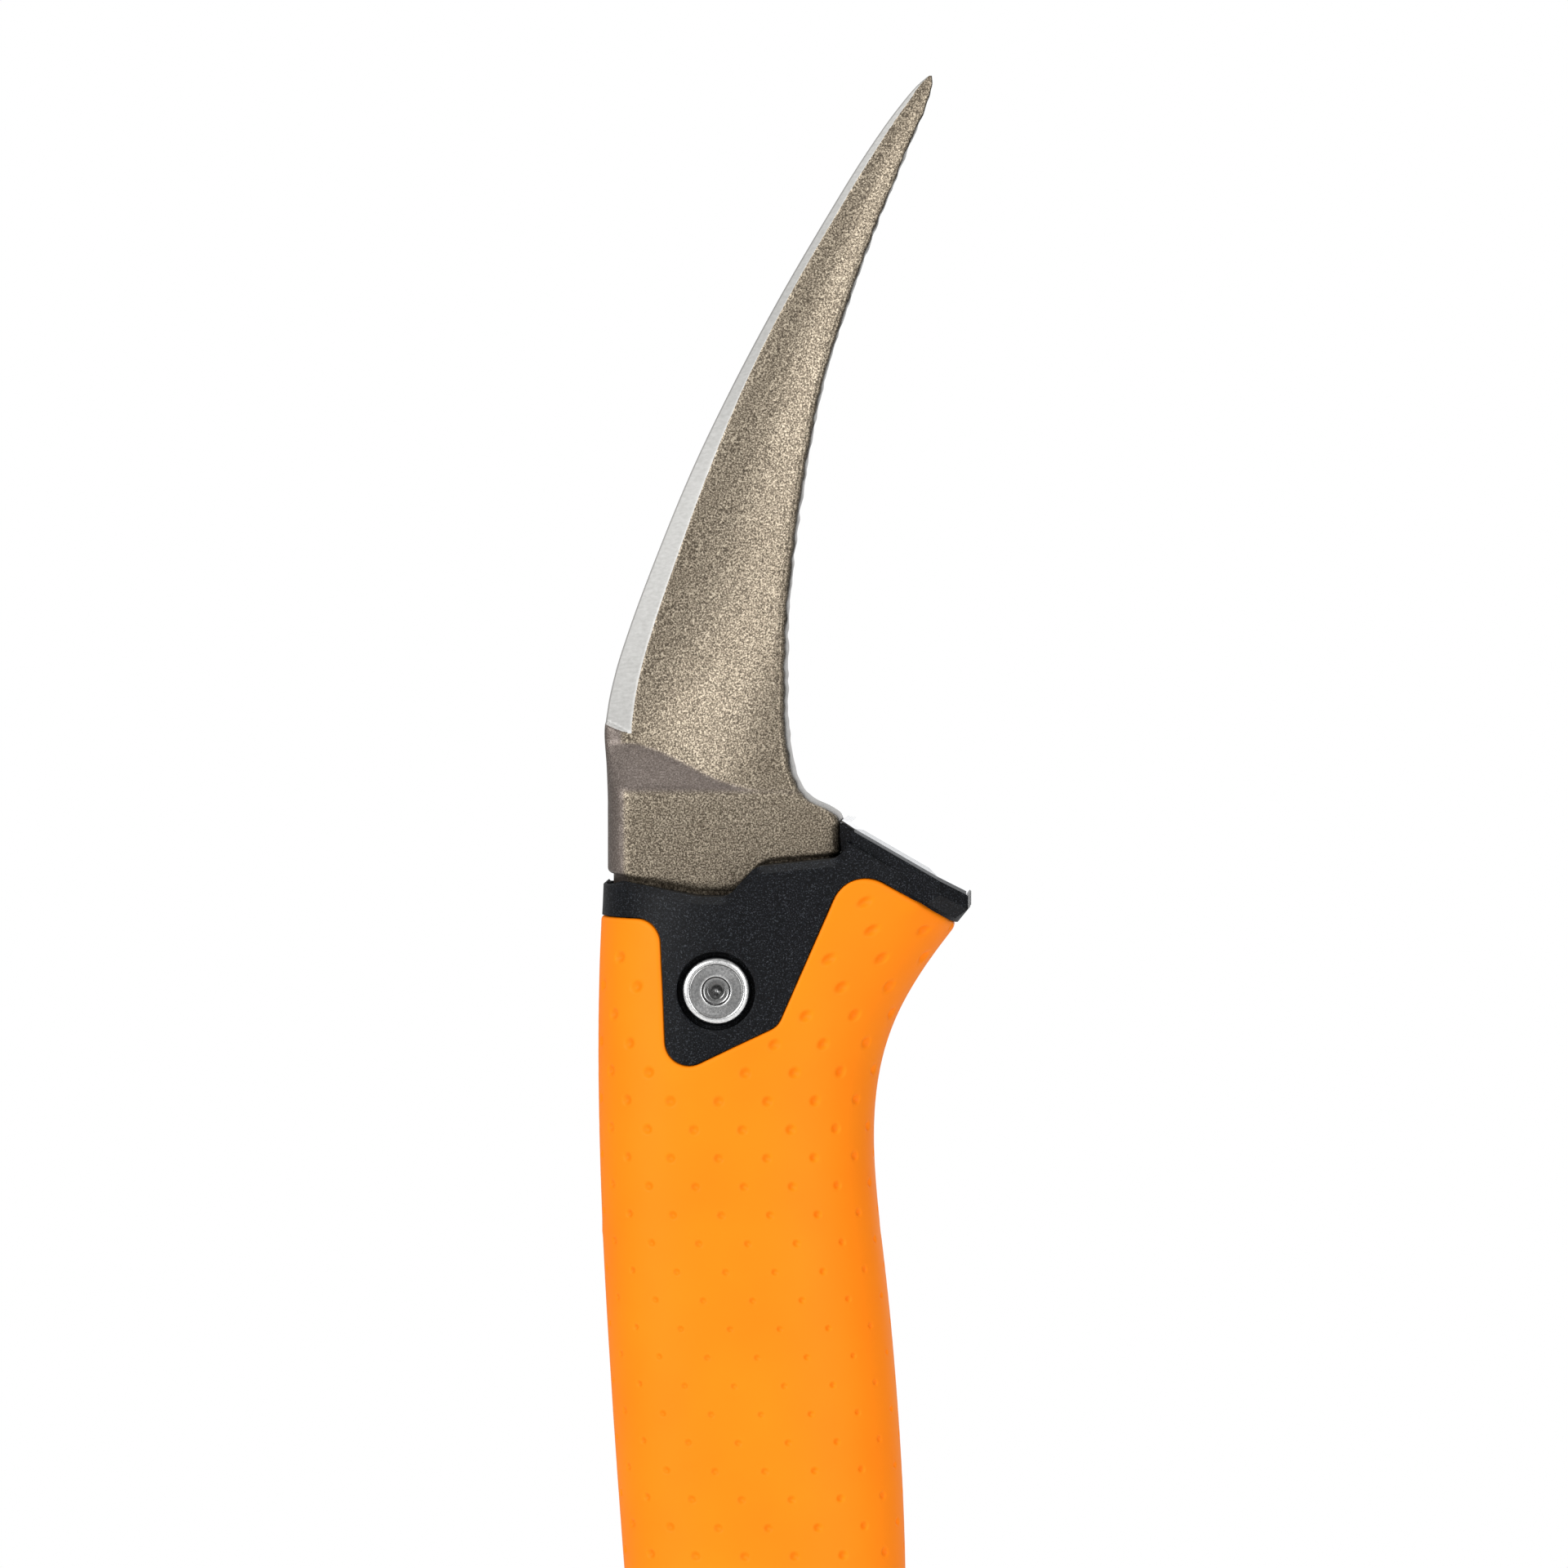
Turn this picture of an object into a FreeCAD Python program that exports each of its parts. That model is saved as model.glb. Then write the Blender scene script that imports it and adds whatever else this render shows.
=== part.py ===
"""Short hand pick: a forged blade in line with a moulded handle, and a steel striking plate on a horn.

Frame: +Z runs from the butt to the blade's tip, and +X from the ground edge to the spine and the horn.
The tool is symmetric about the XZ plane apart from the cross bolt. The origin is the centre of the butt's
flat face.
Millimetres.
"""

import FreeCAD
import Part

import math
import os

V = FreeCAD.Vector

# Handle envelope: height, front (ground-edge side), back (horn side) and half thickness.
HANDLE_STATIONS = [
    (0.0, -23.0, 23.0, 13.0),
    (12.0, -23.6, 22.6, 13.6),
    (26.0, -20.2, 21.4, 13.4),
    (50.0, -15.0, 20.6, 12.8),
    (80.0, -12.9, 21.4, 13.0),
    (115.0, -14.1, 23.6, 13.9),
    (150.0, -16.8, 24.4, 14.5),
    (180.0, -18.9, 22.8, 14.5),
    (203.0, -20.1, 20.4, 14.2),
    (217.0, -20.5, 19.8, 14.1),
    (227.0, -20.6, 21.4, 14.1),
    (236.0, -20.5, 25.4, 14.1),
    (245.0, -20.2, 31.8, 14.0),
    (254.0, -19.8, 39.4, 13.9),
    (264.0, -19.6, 48.5, 13.8),
]
SECTION_POWER = 2.5  # 2 is an ellipse, higher is squarer
SECTION_EGG = 0.10  # how much thinner the back is than the front
SECTION_POINTS = 24
GRIP_WALL = 3.0  # orange overmould over the core
HALF_DEPTH = 30.0  # half the depth of a cutting prism, more than any half thickness
FAR_X = 60.0  # further from the axis than any part of the tool
BELOW_Z = -20.0

# Seat line, where the blade's root meets the collar, from the front to the horn: corners and their radii.
SEAT = [
    (-30.0, 252.8, 0.0),
    (-17.9, 251.9, 6.0),
    (-5.2, 249.6, 12.0),
    (-0.9, 249.6, 2.6),
    (3.1, 254.0, 2.6),
    (14.8, 255.2, 2.2),
    (16.4, 256.8, 0.0),
]
SEAT_CHAMFER = 1.1

# Black apron on each side of the handle, from the front of the collar: corners and their radii.
APRON = [
    (-30.0, 246.55, 0.0),
    (-10.85, 246.45, 3.8),
    (-9.75, 223.25, 3.4),
    (6.3, 230.85, 2.8),
    (16.8, 254.85, 5.3),
    (32.5, 245.15, 0.0),
    (60.0, 228.4, 0.0),
    (60.0, 300.0, 0.0),
    (-30.0, 300.0, 0.0),
]

# Horn and striking plate.
FACE_LEFT = (15.3, 261.3)
FACE_RIGHT = (33.9, 250.6)
FACE_HALF_WIDTH = 12.2
FACE_CORNERS = (2.2, 4.6)  # corner cuts at the blade's end and at the far end
PLATE_EDGE = 1.0
PLATE_CROWN = 0.5
PLATE_INSET = 0.3
RIM_SIDE = 2.0
RIM_BEVEL = 2.4
RIM_BEVEL_INSET = 1.9
STEM_RADIUS = 4.0
STEM_LENGTH = 13.0
STEM_PIN_DEPTH = 9.0
STEM_PIN_RADIUS = 1.25
STEM_PIN_HALF = 8.5

# Cross bolt through the core and the tang.
BOLT_X, BOLT_Z = -2.6, 235.9
RECESS_RADIUS = 5.75
RECESS_CHAMFER = 0.6
RECESS_CHAMFER_Y = 13.7  # where the recess starts to flare, on both sides
NUT_SEAT_Y = -11.4
NUT_HEAD_RADIUS = 4.9
NUT_HEAD = 2.3
NUT_HEAD_CHAMFER = 0.8
NUT_SHANK_RADIUS = 3.5
NUT_END_Y = 9.6
NUT_DISH_RADIUS = 2.1
NUT_DISH_DEPTH = 0.55
NUT_CONE_RADIUS = 1.2
NUT_CONE_DEPTH = 0.7
NUT_THREAD_DEPTH = 15.0
BOLT_SEAT_Y = 10.8
BOLT_RADIUS = 2.0
BOLT_LENGTH = 14.0
BOLT_HEAD_RADIUS = 4.4
BOLT_HEAD = 2.4
BOLT_KEY = 2.5  # across the flats of the hexagon socket
BOLT_KEY_DEPTH = 1.6
BOLT_HEAD_CHAMFER = 0.7
WASHER = 0.8
WASHER_RADIUS = 4.0
WASHER_CLEARANCE = 0.15
WASHER_SPLIT = 0.5
RUNNING = 0.05

# Blade and its root.
ROOT_HALF = 7.4
ROOT_FRONT = -19.1
ROOT_BACK = 14.8
ROOT_CORNER = 4.0
SOCKET_DEPTH = 2.2
SOCKET_GAP = 0.15
SOCKET_MOUTH_Z = 270.0  # above the collar's highest point
RAMP_FROM_Z, RAMP_TO_Z = 264.6, 273.4
RAMP_SPARE = 5.0  # how far the ramp's cut goes on above it
# Height, ground edge, spine, width of the ground bevel, half thickness at the bevel and at the spine.
BLADE_STATIONS = [
    (262.0, -19.3, 9.6, 3.9, 1.8, 7.3),
    (270.0, -19.6, 7.6, 3.9, 1.8, 7.1),
    (277.0, -19.3, 6.95, 3.8, 1.8, 6.7),
    (288.0, -16.3, 7.1, 3.6, 1.8, 6.0),
    (300.0, -11.8, 8.15, 3.2, 1.7, 5.2),
    (312.0, -6.8, 9.9, 2.7, 1.6, 4.5),
    (324.0, -1.0, 12.3, 2.0, 1.4, 3.8),
    (336.0, 5.4, 16.0, 1.6, 1.2, 3.1),
    (348.0, 12.4, 20.4, 1.5, 1.05, 2.5),
    (358.0, 18.6, 24.5, 1.4, 0.9, 1.9),
    (365.0, 23.5, 27.4, 1.1, 0.6, 1.3),
    (369.4, 27.7, 28.3, 0.2, 0.15, 0.25),
]
BLADE_STEPS = 3
EDGE_HALF = 0.12
FACE_HOLLOW = 2.0  # power of the face's rise from the bevel to the spine
SPINE_ROUND = 0.9

# Tang and its elastomer sleeve.
TANG_FRONT, TANG_BACK = -10.4, 3.8
TANG_HALF = 4.0
TANG_END_Z = 206.0
TANG_TAPER = 1.5
SLEEVE_WALL = 1.2
SLEEVE_TOP_Z = 246.0

# Hollow of the core, butt cap, its screw and insert, and the lanyard eyelet.
SEAM_Z = 25.0
SEAM_SLOPE = 0.22  # rise of the cap's seam towards the back
HOLLOW_X = (-7.5, 3.0)
HOLLOW_HALF = 6.0
HOLLOW_TOP_Z = 196.0
SPIGOT_TOP_Z = 40.0
SPIGOT_GAP = 0.1
CAP_ROUND = 2.5
SCREW_X = 8.0
SCREW_RADIUS = 2.0
SCREW_CLEARANCE = 0.2
SCREW_HEAD_RADIUS = 4.0
SCREW_HEAD_Z = (4.0, 6.6)
SCREW_TIP_Z = 41.0
SCREW_KEY = 3.0  # across the flats of the hexagon socket
SCREW_KEY_DEPTH = 1.8
INSERT_RADIUS = 3.3
INSERT_Z = (28.0, 39.0)
RELIEF_TOP_Z = 44.0
EYELET_X, EYELET_Z = -13.2, 13.5
EYELET_BORE = 3.5
EYELET_WALL = 0.9
EYELET_FLANGE = 1.4
EYELET_LIP = 0.8
EYELET_SEAT_Y = 10.0


def sign_power(value, power):
    """value raised to power with its sign kept."""
    return math.copysign(abs(value) ** power, value)


def handle_section(station, inset):
    """One closed egg-shaped section of the handle, inset by a wall thickness."""
    z, front, back, half = station
    middle, reach = (front + back) / 2, (back - front) / 2 - inset
    half = half - inset
    points = []
    for i in range(SECTION_POINTS):
        turn = 2 * math.pi * i / SECTION_POINTS
        across = sign_power(math.cos(turn), 2 / SECTION_POWER)
        depth = sign_power(math.sin(turn), 2 / SECTION_POWER)
        points.append(V(middle + reach * across, half * depth * (1 - SECTION_EGG * across), z))
    curve = Part.BSplineCurve()
    curve.interpolate(Points=points, PeriodicFlag=True)
    return Part.Wire([curve.toShape()])


def handle_body(inset=0.0):
    """The handle's whole outer form, or the same form inset by a wall."""
    return Part.makeLoft([handle_section(s, inset) for s in HANDLE_STATIONS], True, False)


def rounded_outline(corners):
    """A closed XZ outline whose corners (x, z, radius) are rounded by arcs."""
    count = len(corners)
    edges, ends = [], []
    for i, (x, z, radius) in enumerate(corners):
        here = V(x, 0, z)
        before, after = corners[i - 1], corners[(i + 1) % count]
        to_before = (V(before[0], 0, before[1]) - here).normalize()
        to_after = (V(after[0], 0, after[1]) - here).normalize()
        if radius == 0:
            ends.append((here, here))
            continue
        half_angle = to_before.getAngle(to_after) / 2
        reach = radius / math.tan(half_angle)
        start, stop = here + to_before * reach, here + to_after * reach
        centre = here + (to_before + to_after).normalize() * (radius / math.sin(half_angle))
        middle = centre + (here - centre).normalize() * radius
        edges.append((i, Part.Arc(start, middle, stop).toShape()))
        ends.append((start, stop))
    arcs = dict(edges)
    path = []
    for i in range(count):
        if i in arcs:
            path.append(arcs[i])
        path.append(Part.makeLine(ends[i][1], ends[(i + 1) % count][0]))
    return Part.Wire(path)


def prism(wire, half=HALF_DEPTH):
    """An XZ outline made solid from -half to +half along Y."""
    wire = wire.copy()
    wire.translate(V(0, -half, 0))
    return Part.Face(wire).extrude(V(0, 2 * half, 0))


def polygon(points):
    """A closed XZ outline with sharp corners."""
    return Part.makePolygon([V(x, 0, z) for x, z in points + points[:1]])


def box(x, y, z):
    """A box from three (low, high) pairs."""
    return Part.makeBox(x[1] - x[0], y[1] - y[0], z[1] - z[0], V(x[0], y[0], z[0]))


def rod(radius, x, z, y_from, y_to):
    """A cylinder along Y."""
    return Part.makeCylinder(radius, y_to - y_from, V(x, y_from, z), V(0, 1, 0))


def seam_cutter():
    """Everything below the slanted seam between the grip and the butt cap."""
    low, high = SEAM_Z - FAR_X * SEAM_SLOPE, SEAM_Z + FAR_X * SEAM_SLOPE
    return prism(polygon([(-FAR_X, BELOW_Z), (FAR_X, BELOW_Z), (FAR_X, high), (-FAR_X, low)]))


def face_normal():
    """Unit vector out of the striking face, and the one along it away from the blade."""
    along = V(FACE_RIGHT[0] - FACE_LEFT[0], 0, FACE_RIGHT[1] - FACE_LEFT[1]).normalize()
    return V(-along.z, 0, along.x), along


def face_outline(drop, end_inset=0.0, side_inset=0.0, lift=0.0):
    """The striking face's eight-cornered outline, dropped along Z or lifted along the face's normal."""
    normal, along = face_normal()
    centre = V((FACE_LEFT[0] + FACE_RIGHT[0]) / 2, 0, (FACE_LEFT[1] + FACE_RIGHT[1]) / 2 - drop)
    centre = centre + normal * lift
    length = math.dist(FACE_LEFT, FACE_RIGHT) / 2 - side_inset
    width = FACE_HALF_WIDTH - side_inset
    near, far = FACE_CORNERS
    corners = [
        (-length + near, width),
        (length - end_inset - far, width),
        (length - end_inset, width - far),
    ]
    corners = [(-length, width - near)] + corners
    ring = corners + [(u, -w) for u, w in reversed(corners)]
    points = [centre + along * u + V(0, w, 0) for u, w in ring]
    return Part.makePolygon(points + points[:1])


def blade_section(station):
    """One section of the blade: edge, ground bevel, hollow face and rounded spine."""
    z, edge, spine, bevel, bevel_half, spine_half = station
    side = [(edge, EDGE_HALF), (edge + bevel, bevel_half)]
    face = spine - SPINE_ROUND * min(1.0, spine_half) - edge - bevel
    for share in (0.35, 0.7, 1.0):
        rise = (spine_half - bevel_half) * share**FACE_HOLLOW
        side.append((edge + bevel + face * share, bevel_half + rise))
    side.append((spine, spine_half - SPINE_ROUND * min(1.0, spine_half)))
    ring = [(x, -y) for x, y in side] + [(x, y) for x, y in reversed(side)]
    points = [V(x, y, z) for x, y in ring]
    return Part.makePolygon(points + points[:1])


def root_foot(gap):
    """The root's stepped foot in the collar's socket, widened by a gap."""
    foot = [(x, z - SOCKET_DEPTH - gap, radius) for x, z, radius in SEAT[1:-1]]
    foot[0] = (ROOT_FRONT - gap, foot[0][1], 0.0)
    foot[-1] = (ROOT_BACK + gap, foot[-1][1], 0.0)
    return foot


def root_outline():
    """The root's side outline: its foot, the shoulder by the horn and the start of the blade."""
    return rounded_outline(
        root_foot(0.0)
        + [
            (ROOT_BACK, 261.2, 1.2),
            (8.6, 263.9, 3.0),
            (7.2, RAMP_TO_Z, 0.0),
            (-19.7, RAMP_TO_Z, 0.0),
            (-19.3, 268.0, 0.0),
            (ROOT_FRONT, 263.0, 0.0),
        ]
    )


def ramp_cutters():
    """Two wedges that thin the top of the root down to the blade's bevel."""
    cutters = []
    bevel_half = BLADE_STATIONS[1][4]
    for side in (-1, 1):
        ring = [
            (side * ROOT_HALF, RAMP_FROM_Z),
            (side * HALF_DEPTH, RAMP_FROM_Z),
            (side * HALF_DEPTH, RAMP_TO_Z + RAMP_SPARE),
            (side * bevel_half, RAMP_TO_Z + RAMP_SPARE),
            (side * bevel_half, RAMP_TO_Z),
        ]
        points = [V(-FAR_X, y, z) for y, z in ring]
        cutters.append(Part.Face(Part.makePolygon(points + points[:1])).extrude(V(2 * FAR_X, 0, 0)))
    return cutters


def front_rounded(shape, x, radius):
    """shape with its upright edges on the plane at x rounded."""
    upright = [
        e
        for e in shape.Edges
        if all(abs(v.X - x) < 1e-6 for v in e.Vertexes) and abs(e.tangentAt(e.FirstParameter).z) > 0.99
    ]
    return shape.makeFillet(radius, upright)


def tang(grow=0.0):
    """The tang as a tapered bar, grown by a wall on every side but the top."""
    low, top = TANG_END_Z - grow, SLEEVE_TOP_Z
    outline = polygon(
        [
            (TANG_FRONT - grow + TANG_TAPER, low),
            (TANG_BACK + grow - TANG_TAPER, low),
            (TANG_BACK + grow, top),
            (TANG_FRONT - grow, top),
        ]
    )
    return prism(outline, TANG_HALF + grow)


def upper_tang(gap=0.0):
    """The tang between its sleeve and the root, widened by a gap."""
    half = TANG_HALF + gap
    return box((TANG_FRONT - gap, TANG_BACK + gap), (-half, half), (SLEEVE_TOP_Z, SEAT[2][1]))


def between_stations(before, start, stop, after, share):
    """A station between two others, on a smooth curve through all four."""
    blend = [
        -0.5 * share + share**2 - 0.5 * share**3,
        1 - 2.5 * share**2 + 1.5 * share**3,
        0.5 * share + 2 * share**2 - 1.5 * share**3,
        0.5 * share**3 - 0.5 * share**2,
    ]
    return [sum(w * v for w, v in zip(blend, values)) for values in zip(before, start, stop, after)]


def fine_stations():
    """The blade's stations with more of them worked out in between."""
    ends = [BLADE_STATIONS[0]] + BLADE_STATIONS + [BLADE_STATIONS[-1]]
    fine = []
    for four in zip(ends, ends[1:], ends[2:], ends[3:]):
        fine += [between_stations(*four, step / BLADE_STEPS) for step in range(BLADE_STEPS)]
    return fine + [BLADE_STATIONS[-1]]


def make_pick_blade():
    """Blade, root and tang, forged in one piece, with the cross bolt's hole."""
    blade = Part.makeLoft([blade_section(s) for s in fine_stations()], True, True)
    root = front_rounded(prism(root_outline(), ROOT_HALF), ROOT_FRONT, ROOT_CORNER)
    for cutter in ramp_cutters():
        root = root.cut(cutter)
    head = root.fuse([blade, tang(), upper_tang()]).removeSplitter()
    return head.cut(rod(NUT_SHANK_RADIUS + RUNNING, BOLT_X, BOLT_Z, -HALF_DEPTH, HALF_DEPTH))


def make_tang_sleeve():
    """Elastomer sleeve that keeps the tang off the core."""
    sleeve = tang(SLEEVE_WALL).cut(tang())
    return sleeve.cut(rod(NUT_SHANK_RADIUS + RUNNING, BOLT_X, BOLT_Z, -HALF_DEPTH, HALF_DEPTH))


def make_barrel_nut():
    """Flanged barrel nut with a turned dish in its head, shown on the -Y side."""
    head = rod(NUT_HEAD_RADIUS, BOLT_X, BOLT_Z, NUT_SEAT_Y - NUT_HEAD, NUT_SEAT_Y)
    face_y = NUT_SEAT_Y - NUT_HEAD
    rim = [e for e in head.Edges if abs(e.BoundBox.YMin - face_y) < 1e-6 and e.BoundBox.YLength < 1e-6]
    head = head.makeChamfer(NUT_HEAD_CHAMFER, rim)
    nut = head.fuse(rod(NUT_SHANK_RADIUS, BOLT_X, BOLT_Z, NUT_SEAT_Y, NUT_END_Y)).removeSplitter()
    dish = rod(NUT_DISH_RADIUS, BOLT_X, BOLT_Z, face_y - 1, face_y + NUT_DISH_DEPTH)
    bottom = V(BOLT_X, face_y + NUT_DISH_DEPTH, BOLT_Z)
    cone = Part.makeCone(NUT_CONE_RADIUS, 0.05, NUT_CONE_DEPTH, bottom, V(0, 1, 0))
    thread = rod(BOLT_RADIUS, BOLT_X, BOLT_Z, NUT_END_Y - NUT_THREAD_DEPTH, NUT_END_Y + 1)
    return nut.cut(dish).cut(cone).cut(thread)


def hexagon(radius, x, y, z, depth):
    """A hexagonal prism along Y, from y towards the inside of the tool."""
    turns = [math.pi * side / 3 for side in range(6)]
    points = [V(x + radius * math.cos(turn), y, z + radius * math.sin(turn)) for turn in turns]
    return Part.Face(Part.makePolygon(points + points[:1])).extrude(V(0, -depth, 0))


def make_cross_bolt():
    """Low-head socket screw that closes the barrel nut from the +Y side."""
    under = BOLT_SEAT_Y + WASHER
    head = rod(BOLT_HEAD_RADIUS, BOLT_X, BOLT_Z, under, under + BOLT_HEAD)
    rim = [e for e in head.Edges if abs(e.BoundBox.YMin - under - BOLT_HEAD) < 1e-6]
    head = head.makeChamfer(BOLT_HEAD_CHAMFER, rim)
    shank = rod(BOLT_RADIUS, BOLT_X, BOLT_Z, under - BOLT_LENGTH, under)
    socket = hexagon(BOLT_KEY / math.sqrt(3), BOLT_X, under + BOLT_HEAD, BOLT_Z, BOLT_KEY_DEPTH)
    return head.fuse(shank).removeSplitter().cut(socket)


def make_lock_washer():
    """Split spring washer, drawn flat as it is when tight."""
    ring = rod(WASHER_RADIUS, BOLT_X, BOLT_Z, BOLT_SEAT_Y, BOLT_SEAT_Y + WASHER)
    low, high = BOLT_SEAT_Y - 1, BOLT_SEAT_Y + WASHER + 1
    ring = ring.cut(rod(BOLT_RADIUS + WASHER_CLEARANCE, BOLT_X, BOLT_Z, low, high))
    half_split = WASHER_SPLIT / 2
    gap = box((BOLT_X, BOLT_X + 2 * WASHER_RADIUS), (low, high), (BOLT_Z - half_split, BOLT_Z + half_split))
    return ring.cut(gap)


def stem(radius, length, from_drop):
    """A cylinder from the plate's underside into the horn, square to the striking face."""
    normal, _ = face_normal()
    centre = V((FACE_LEFT[0] + FACE_RIGHT[0]) / 2, 0, (FACE_LEFT[1] + FACE_RIGHT[1]) / 2 - from_drop)
    return Part.makeCylinder(radius, length, centre, normal * -1)


def stem_pin(radius, half):
    """The cross pin that holds the stem."""
    normal, _ = face_normal()
    centre = V((FACE_LEFT[0] + FACE_RIGHT[0]) / 2, 0, (FACE_LEFT[1] + FACE_RIGHT[1]) / 2 - PLATE_EDGE)
    at = centre - normal * STEM_PIN_DEPTH
    return rod(radius, at.x, at.z, -half, half)


def make_strike_plate():
    """Steel plate with a bevelled rim, on a stem."""
    side = face_outline(PLATE_EDGE, side_inset=PLATE_INSET)
    plate = Part.Face(side).extrude(V(0, 0, PLATE_EDGE - PLATE_CROWN))
    top = face_outline(0.0, side_inset=PLATE_INSET + 1.6)
    crown = Part.makeLoft([face_outline(PLATE_CROWN, side_inset=PLATE_INSET), top], True, True)
    whole = plate.fuse([crown, stem(STEM_RADIUS, STEM_LENGTH, PLATE_EDGE)]).removeSplitter()
    return whole.cut(stem_pin(STEM_PIN_RADIUS, HALF_DEPTH))


def make_strike_pin():
    """Spring pin through the plate's stem, hidden in the core."""
    return stem_pin(STEM_PIN_RADIUS, STEM_PIN_HALF)


def rim_block():
    """The horn's black rim under the striking plate."""
    side = Part.Face(face_outline(PLATE_EDGE + RIM_SIDE)).extrude(V(0, 0, RIM_SIDE))
    lower = face_outline(PLATE_EDGE + RIM_SIDE + RIM_BEVEL, RIM_BEVEL_INSET, 0.25)
    bevel = Part.makeLoft([lower, face_outline(PLATE_EDGE + RIM_SIDE)], True, True)
    return side.fuse(bevel)


def collar_limit():
    """What the handle's form may fill: everything under the seat line and under the rim's side band."""
    drop = PLATE_EDGE + RIM_SIDE
    slope = (FACE_RIGHT[1] - FACE_LEFT[1]) / (FACE_RIGHT[0] - FACE_LEFT[0])
    corner = (FACE_RIGHT[0], FACE_RIGHT[1] - drop)
    horn_side = SEAT[-1][0]
    near = (horn_side, corner[1] + (horn_side - corner[0]) * slope, 0.0)
    far = (FAR_X, corner[1] + (FAR_X - corner[0]) * slope, 0.0)
    foot = [(FAR_X, BELOW_Z, 0.0), (SEAT[0][0], BELOW_Z, 0.0)]
    return prism(rounded_outline(SEAT + [near, far] + foot))


def chamfered_seat(form):
    """The handle's form with its rim along the seat line chamfered."""
    lowest = min(z for _, z, _ in SEAT) - RUNNING
    furthest = SEAT[-1][0] + RUNNING
    rim = []
    for edge in form.Edges:
        size = edge.BoundBox
        if size.ZMin > lowest and size.XMax < furthest and size.XLength > RUNNING:
            rim.append(edge)
    return form.makeChamfer(SEAT_CHAMFER, rim)


def spigot():
    """The bar of the butt cap that fills the lower end of the core's hollow."""
    half = HOLLOW_HALF - SPIGOT_GAP
    span = (HOLLOW_X[0] + SPIGOT_GAP, HOLLOW_X[1] - SPIGOT_GAP)
    return box(span, (-half, half), (SEAM_Z - 5, SPIGOT_TOP_Z))


def upright(radius, z_from, z_to):
    """A cylinder on the butt screw's axis."""
    return Part.makeCylinder(radius, z_to - z_from, V(SCREW_X, 0, z_from))


def bolt_cutters():
    """The cross bolt's hole and its flared recesses on both sides of the handle."""
    cutters = [rod(NUT_SHANK_RADIUS + RUNNING, BOLT_X, BOLT_Z, -HALF_DEPTH, HALF_DEPTH)]
    cutters.append(rod(RECESS_RADIUS, BOLT_X, BOLT_Z, -HALF_DEPTH, NUT_SEAT_Y))
    cutters.append(rod(RECESS_RADIUS, BOLT_X, BOLT_Z, BOLT_SEAT_Y, HALF_DEPTH))
    for side in (-1, 1):
        start = V(BOLT_X, side * RECESS_CHAMFER_Y, BOLT_Z)
        wide = RECESS_RADIUS + 2 * RECESS_CHAMFER
        cutters.append(Part.makeCone(RECESS_RADIUS, wide, 2 * RECESS_CHAMFER, start, V(0, side, 0)))
    return cutters


def make_handle_core(outer, inner, below_seam, apron):
    """Glass-filled core: collar, aprons and horn outside, and a hollow beam inside the grip."""
    beam = inner.cut(below_seam)
    core = outer.common(apron).fuse([beam, rim_block()]).removeSplitter()
    mouth = [(ROOT_BACK + SOCKET_GAP, SOCKET_MOUTH_Z, 0.0), (ROOT_FRONT - SOCKET_GAP, SOCKET_MOUTH_Z, 0.0)]
    socket = prism(rounded_outline(root_foot(SOCKET_GAP) + mouth), ROOT_HALF + SOCKET_GAP)
    socket = front_rounded(socket, ROOT_FRONT - SOCKET_GAP, ROOT_CORNER)
    cutters = [socket, tang(SLEEVE_WALL), upper_tang(SOCKET_GAP)]
    cutters += bolt_cutters()
    cutters += [stem(STEM_RADIUS, STEM_LENGTH, PLATE_EDGE), stem_pin(STEM_PIN_RADIUS, STEM_PIN_HALF)]
    cutters.append(box(HOLLOW_X, (-HOLLOW_HALF, HOLLOW_HALF), (0, HOLLOW_TOP_Z)))
    cutters.append(upright(INSERT_RADIUS, 0, INSERT_Z[1]))
    cutters.append(upright(SCREW_RADIUS + SCREW_CLEARANCE, 0, RELIEF_TOP_Z))
    for cutter in cutters:
        core = core.cut(cutter)
    return core


def make_grip_sleeve(outer, inner, below_seam, apron):
    """Orange overmould between the seam, the aprons and the horn's rim."""
    return outer.cut(inner).cut(apron).cut(below_seam)


def make_butt_cap(outer, below_seam):
    """Black end cap with its spigots, screw well and eyelet seat."""
    cap = outer.common(below_seam)
    foot = [e for e in cap.Edges if e.BoundBox.ZMax < 1e-3]
    cap = cap.makeFillet(CAP_ROUND, foot)
    cap = cap.fuse(spigot())
    cutters = [upright(SCREW_HEAD_RADIUS + SCREW_CLEARANCE, -1, SCREW_HEAD_Z[1])]
    cutters.append(upright(SCREW_RADIUS + SCREW_CLEARANCE, -1, RELIEF_TOP_Z))
    cutters.append(rod(EYELET_BORE + EYELET_WALL, EYELET_X, EYELET_Z, -HALF_DEPTH, HALF_DEPTH))
    flange = EYELET_BORE + EYELET_WALL + EYELET_FLANGE
    cutters.append(rod(flange + SCREW_CLEARANCE, EYELET_X, EYELET_Z, EYELET_SEAT_Y, HALF_DEPTH))
    cutters.append(rod(flange + SCREW_CLEARANCE, EYELET_X, EYELET_Z, -HALF_DEPTH, -EYELET_SEAT_Y))
    for cutter in cutters:
        cap = cap.cut(cutter)
    return cap


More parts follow.
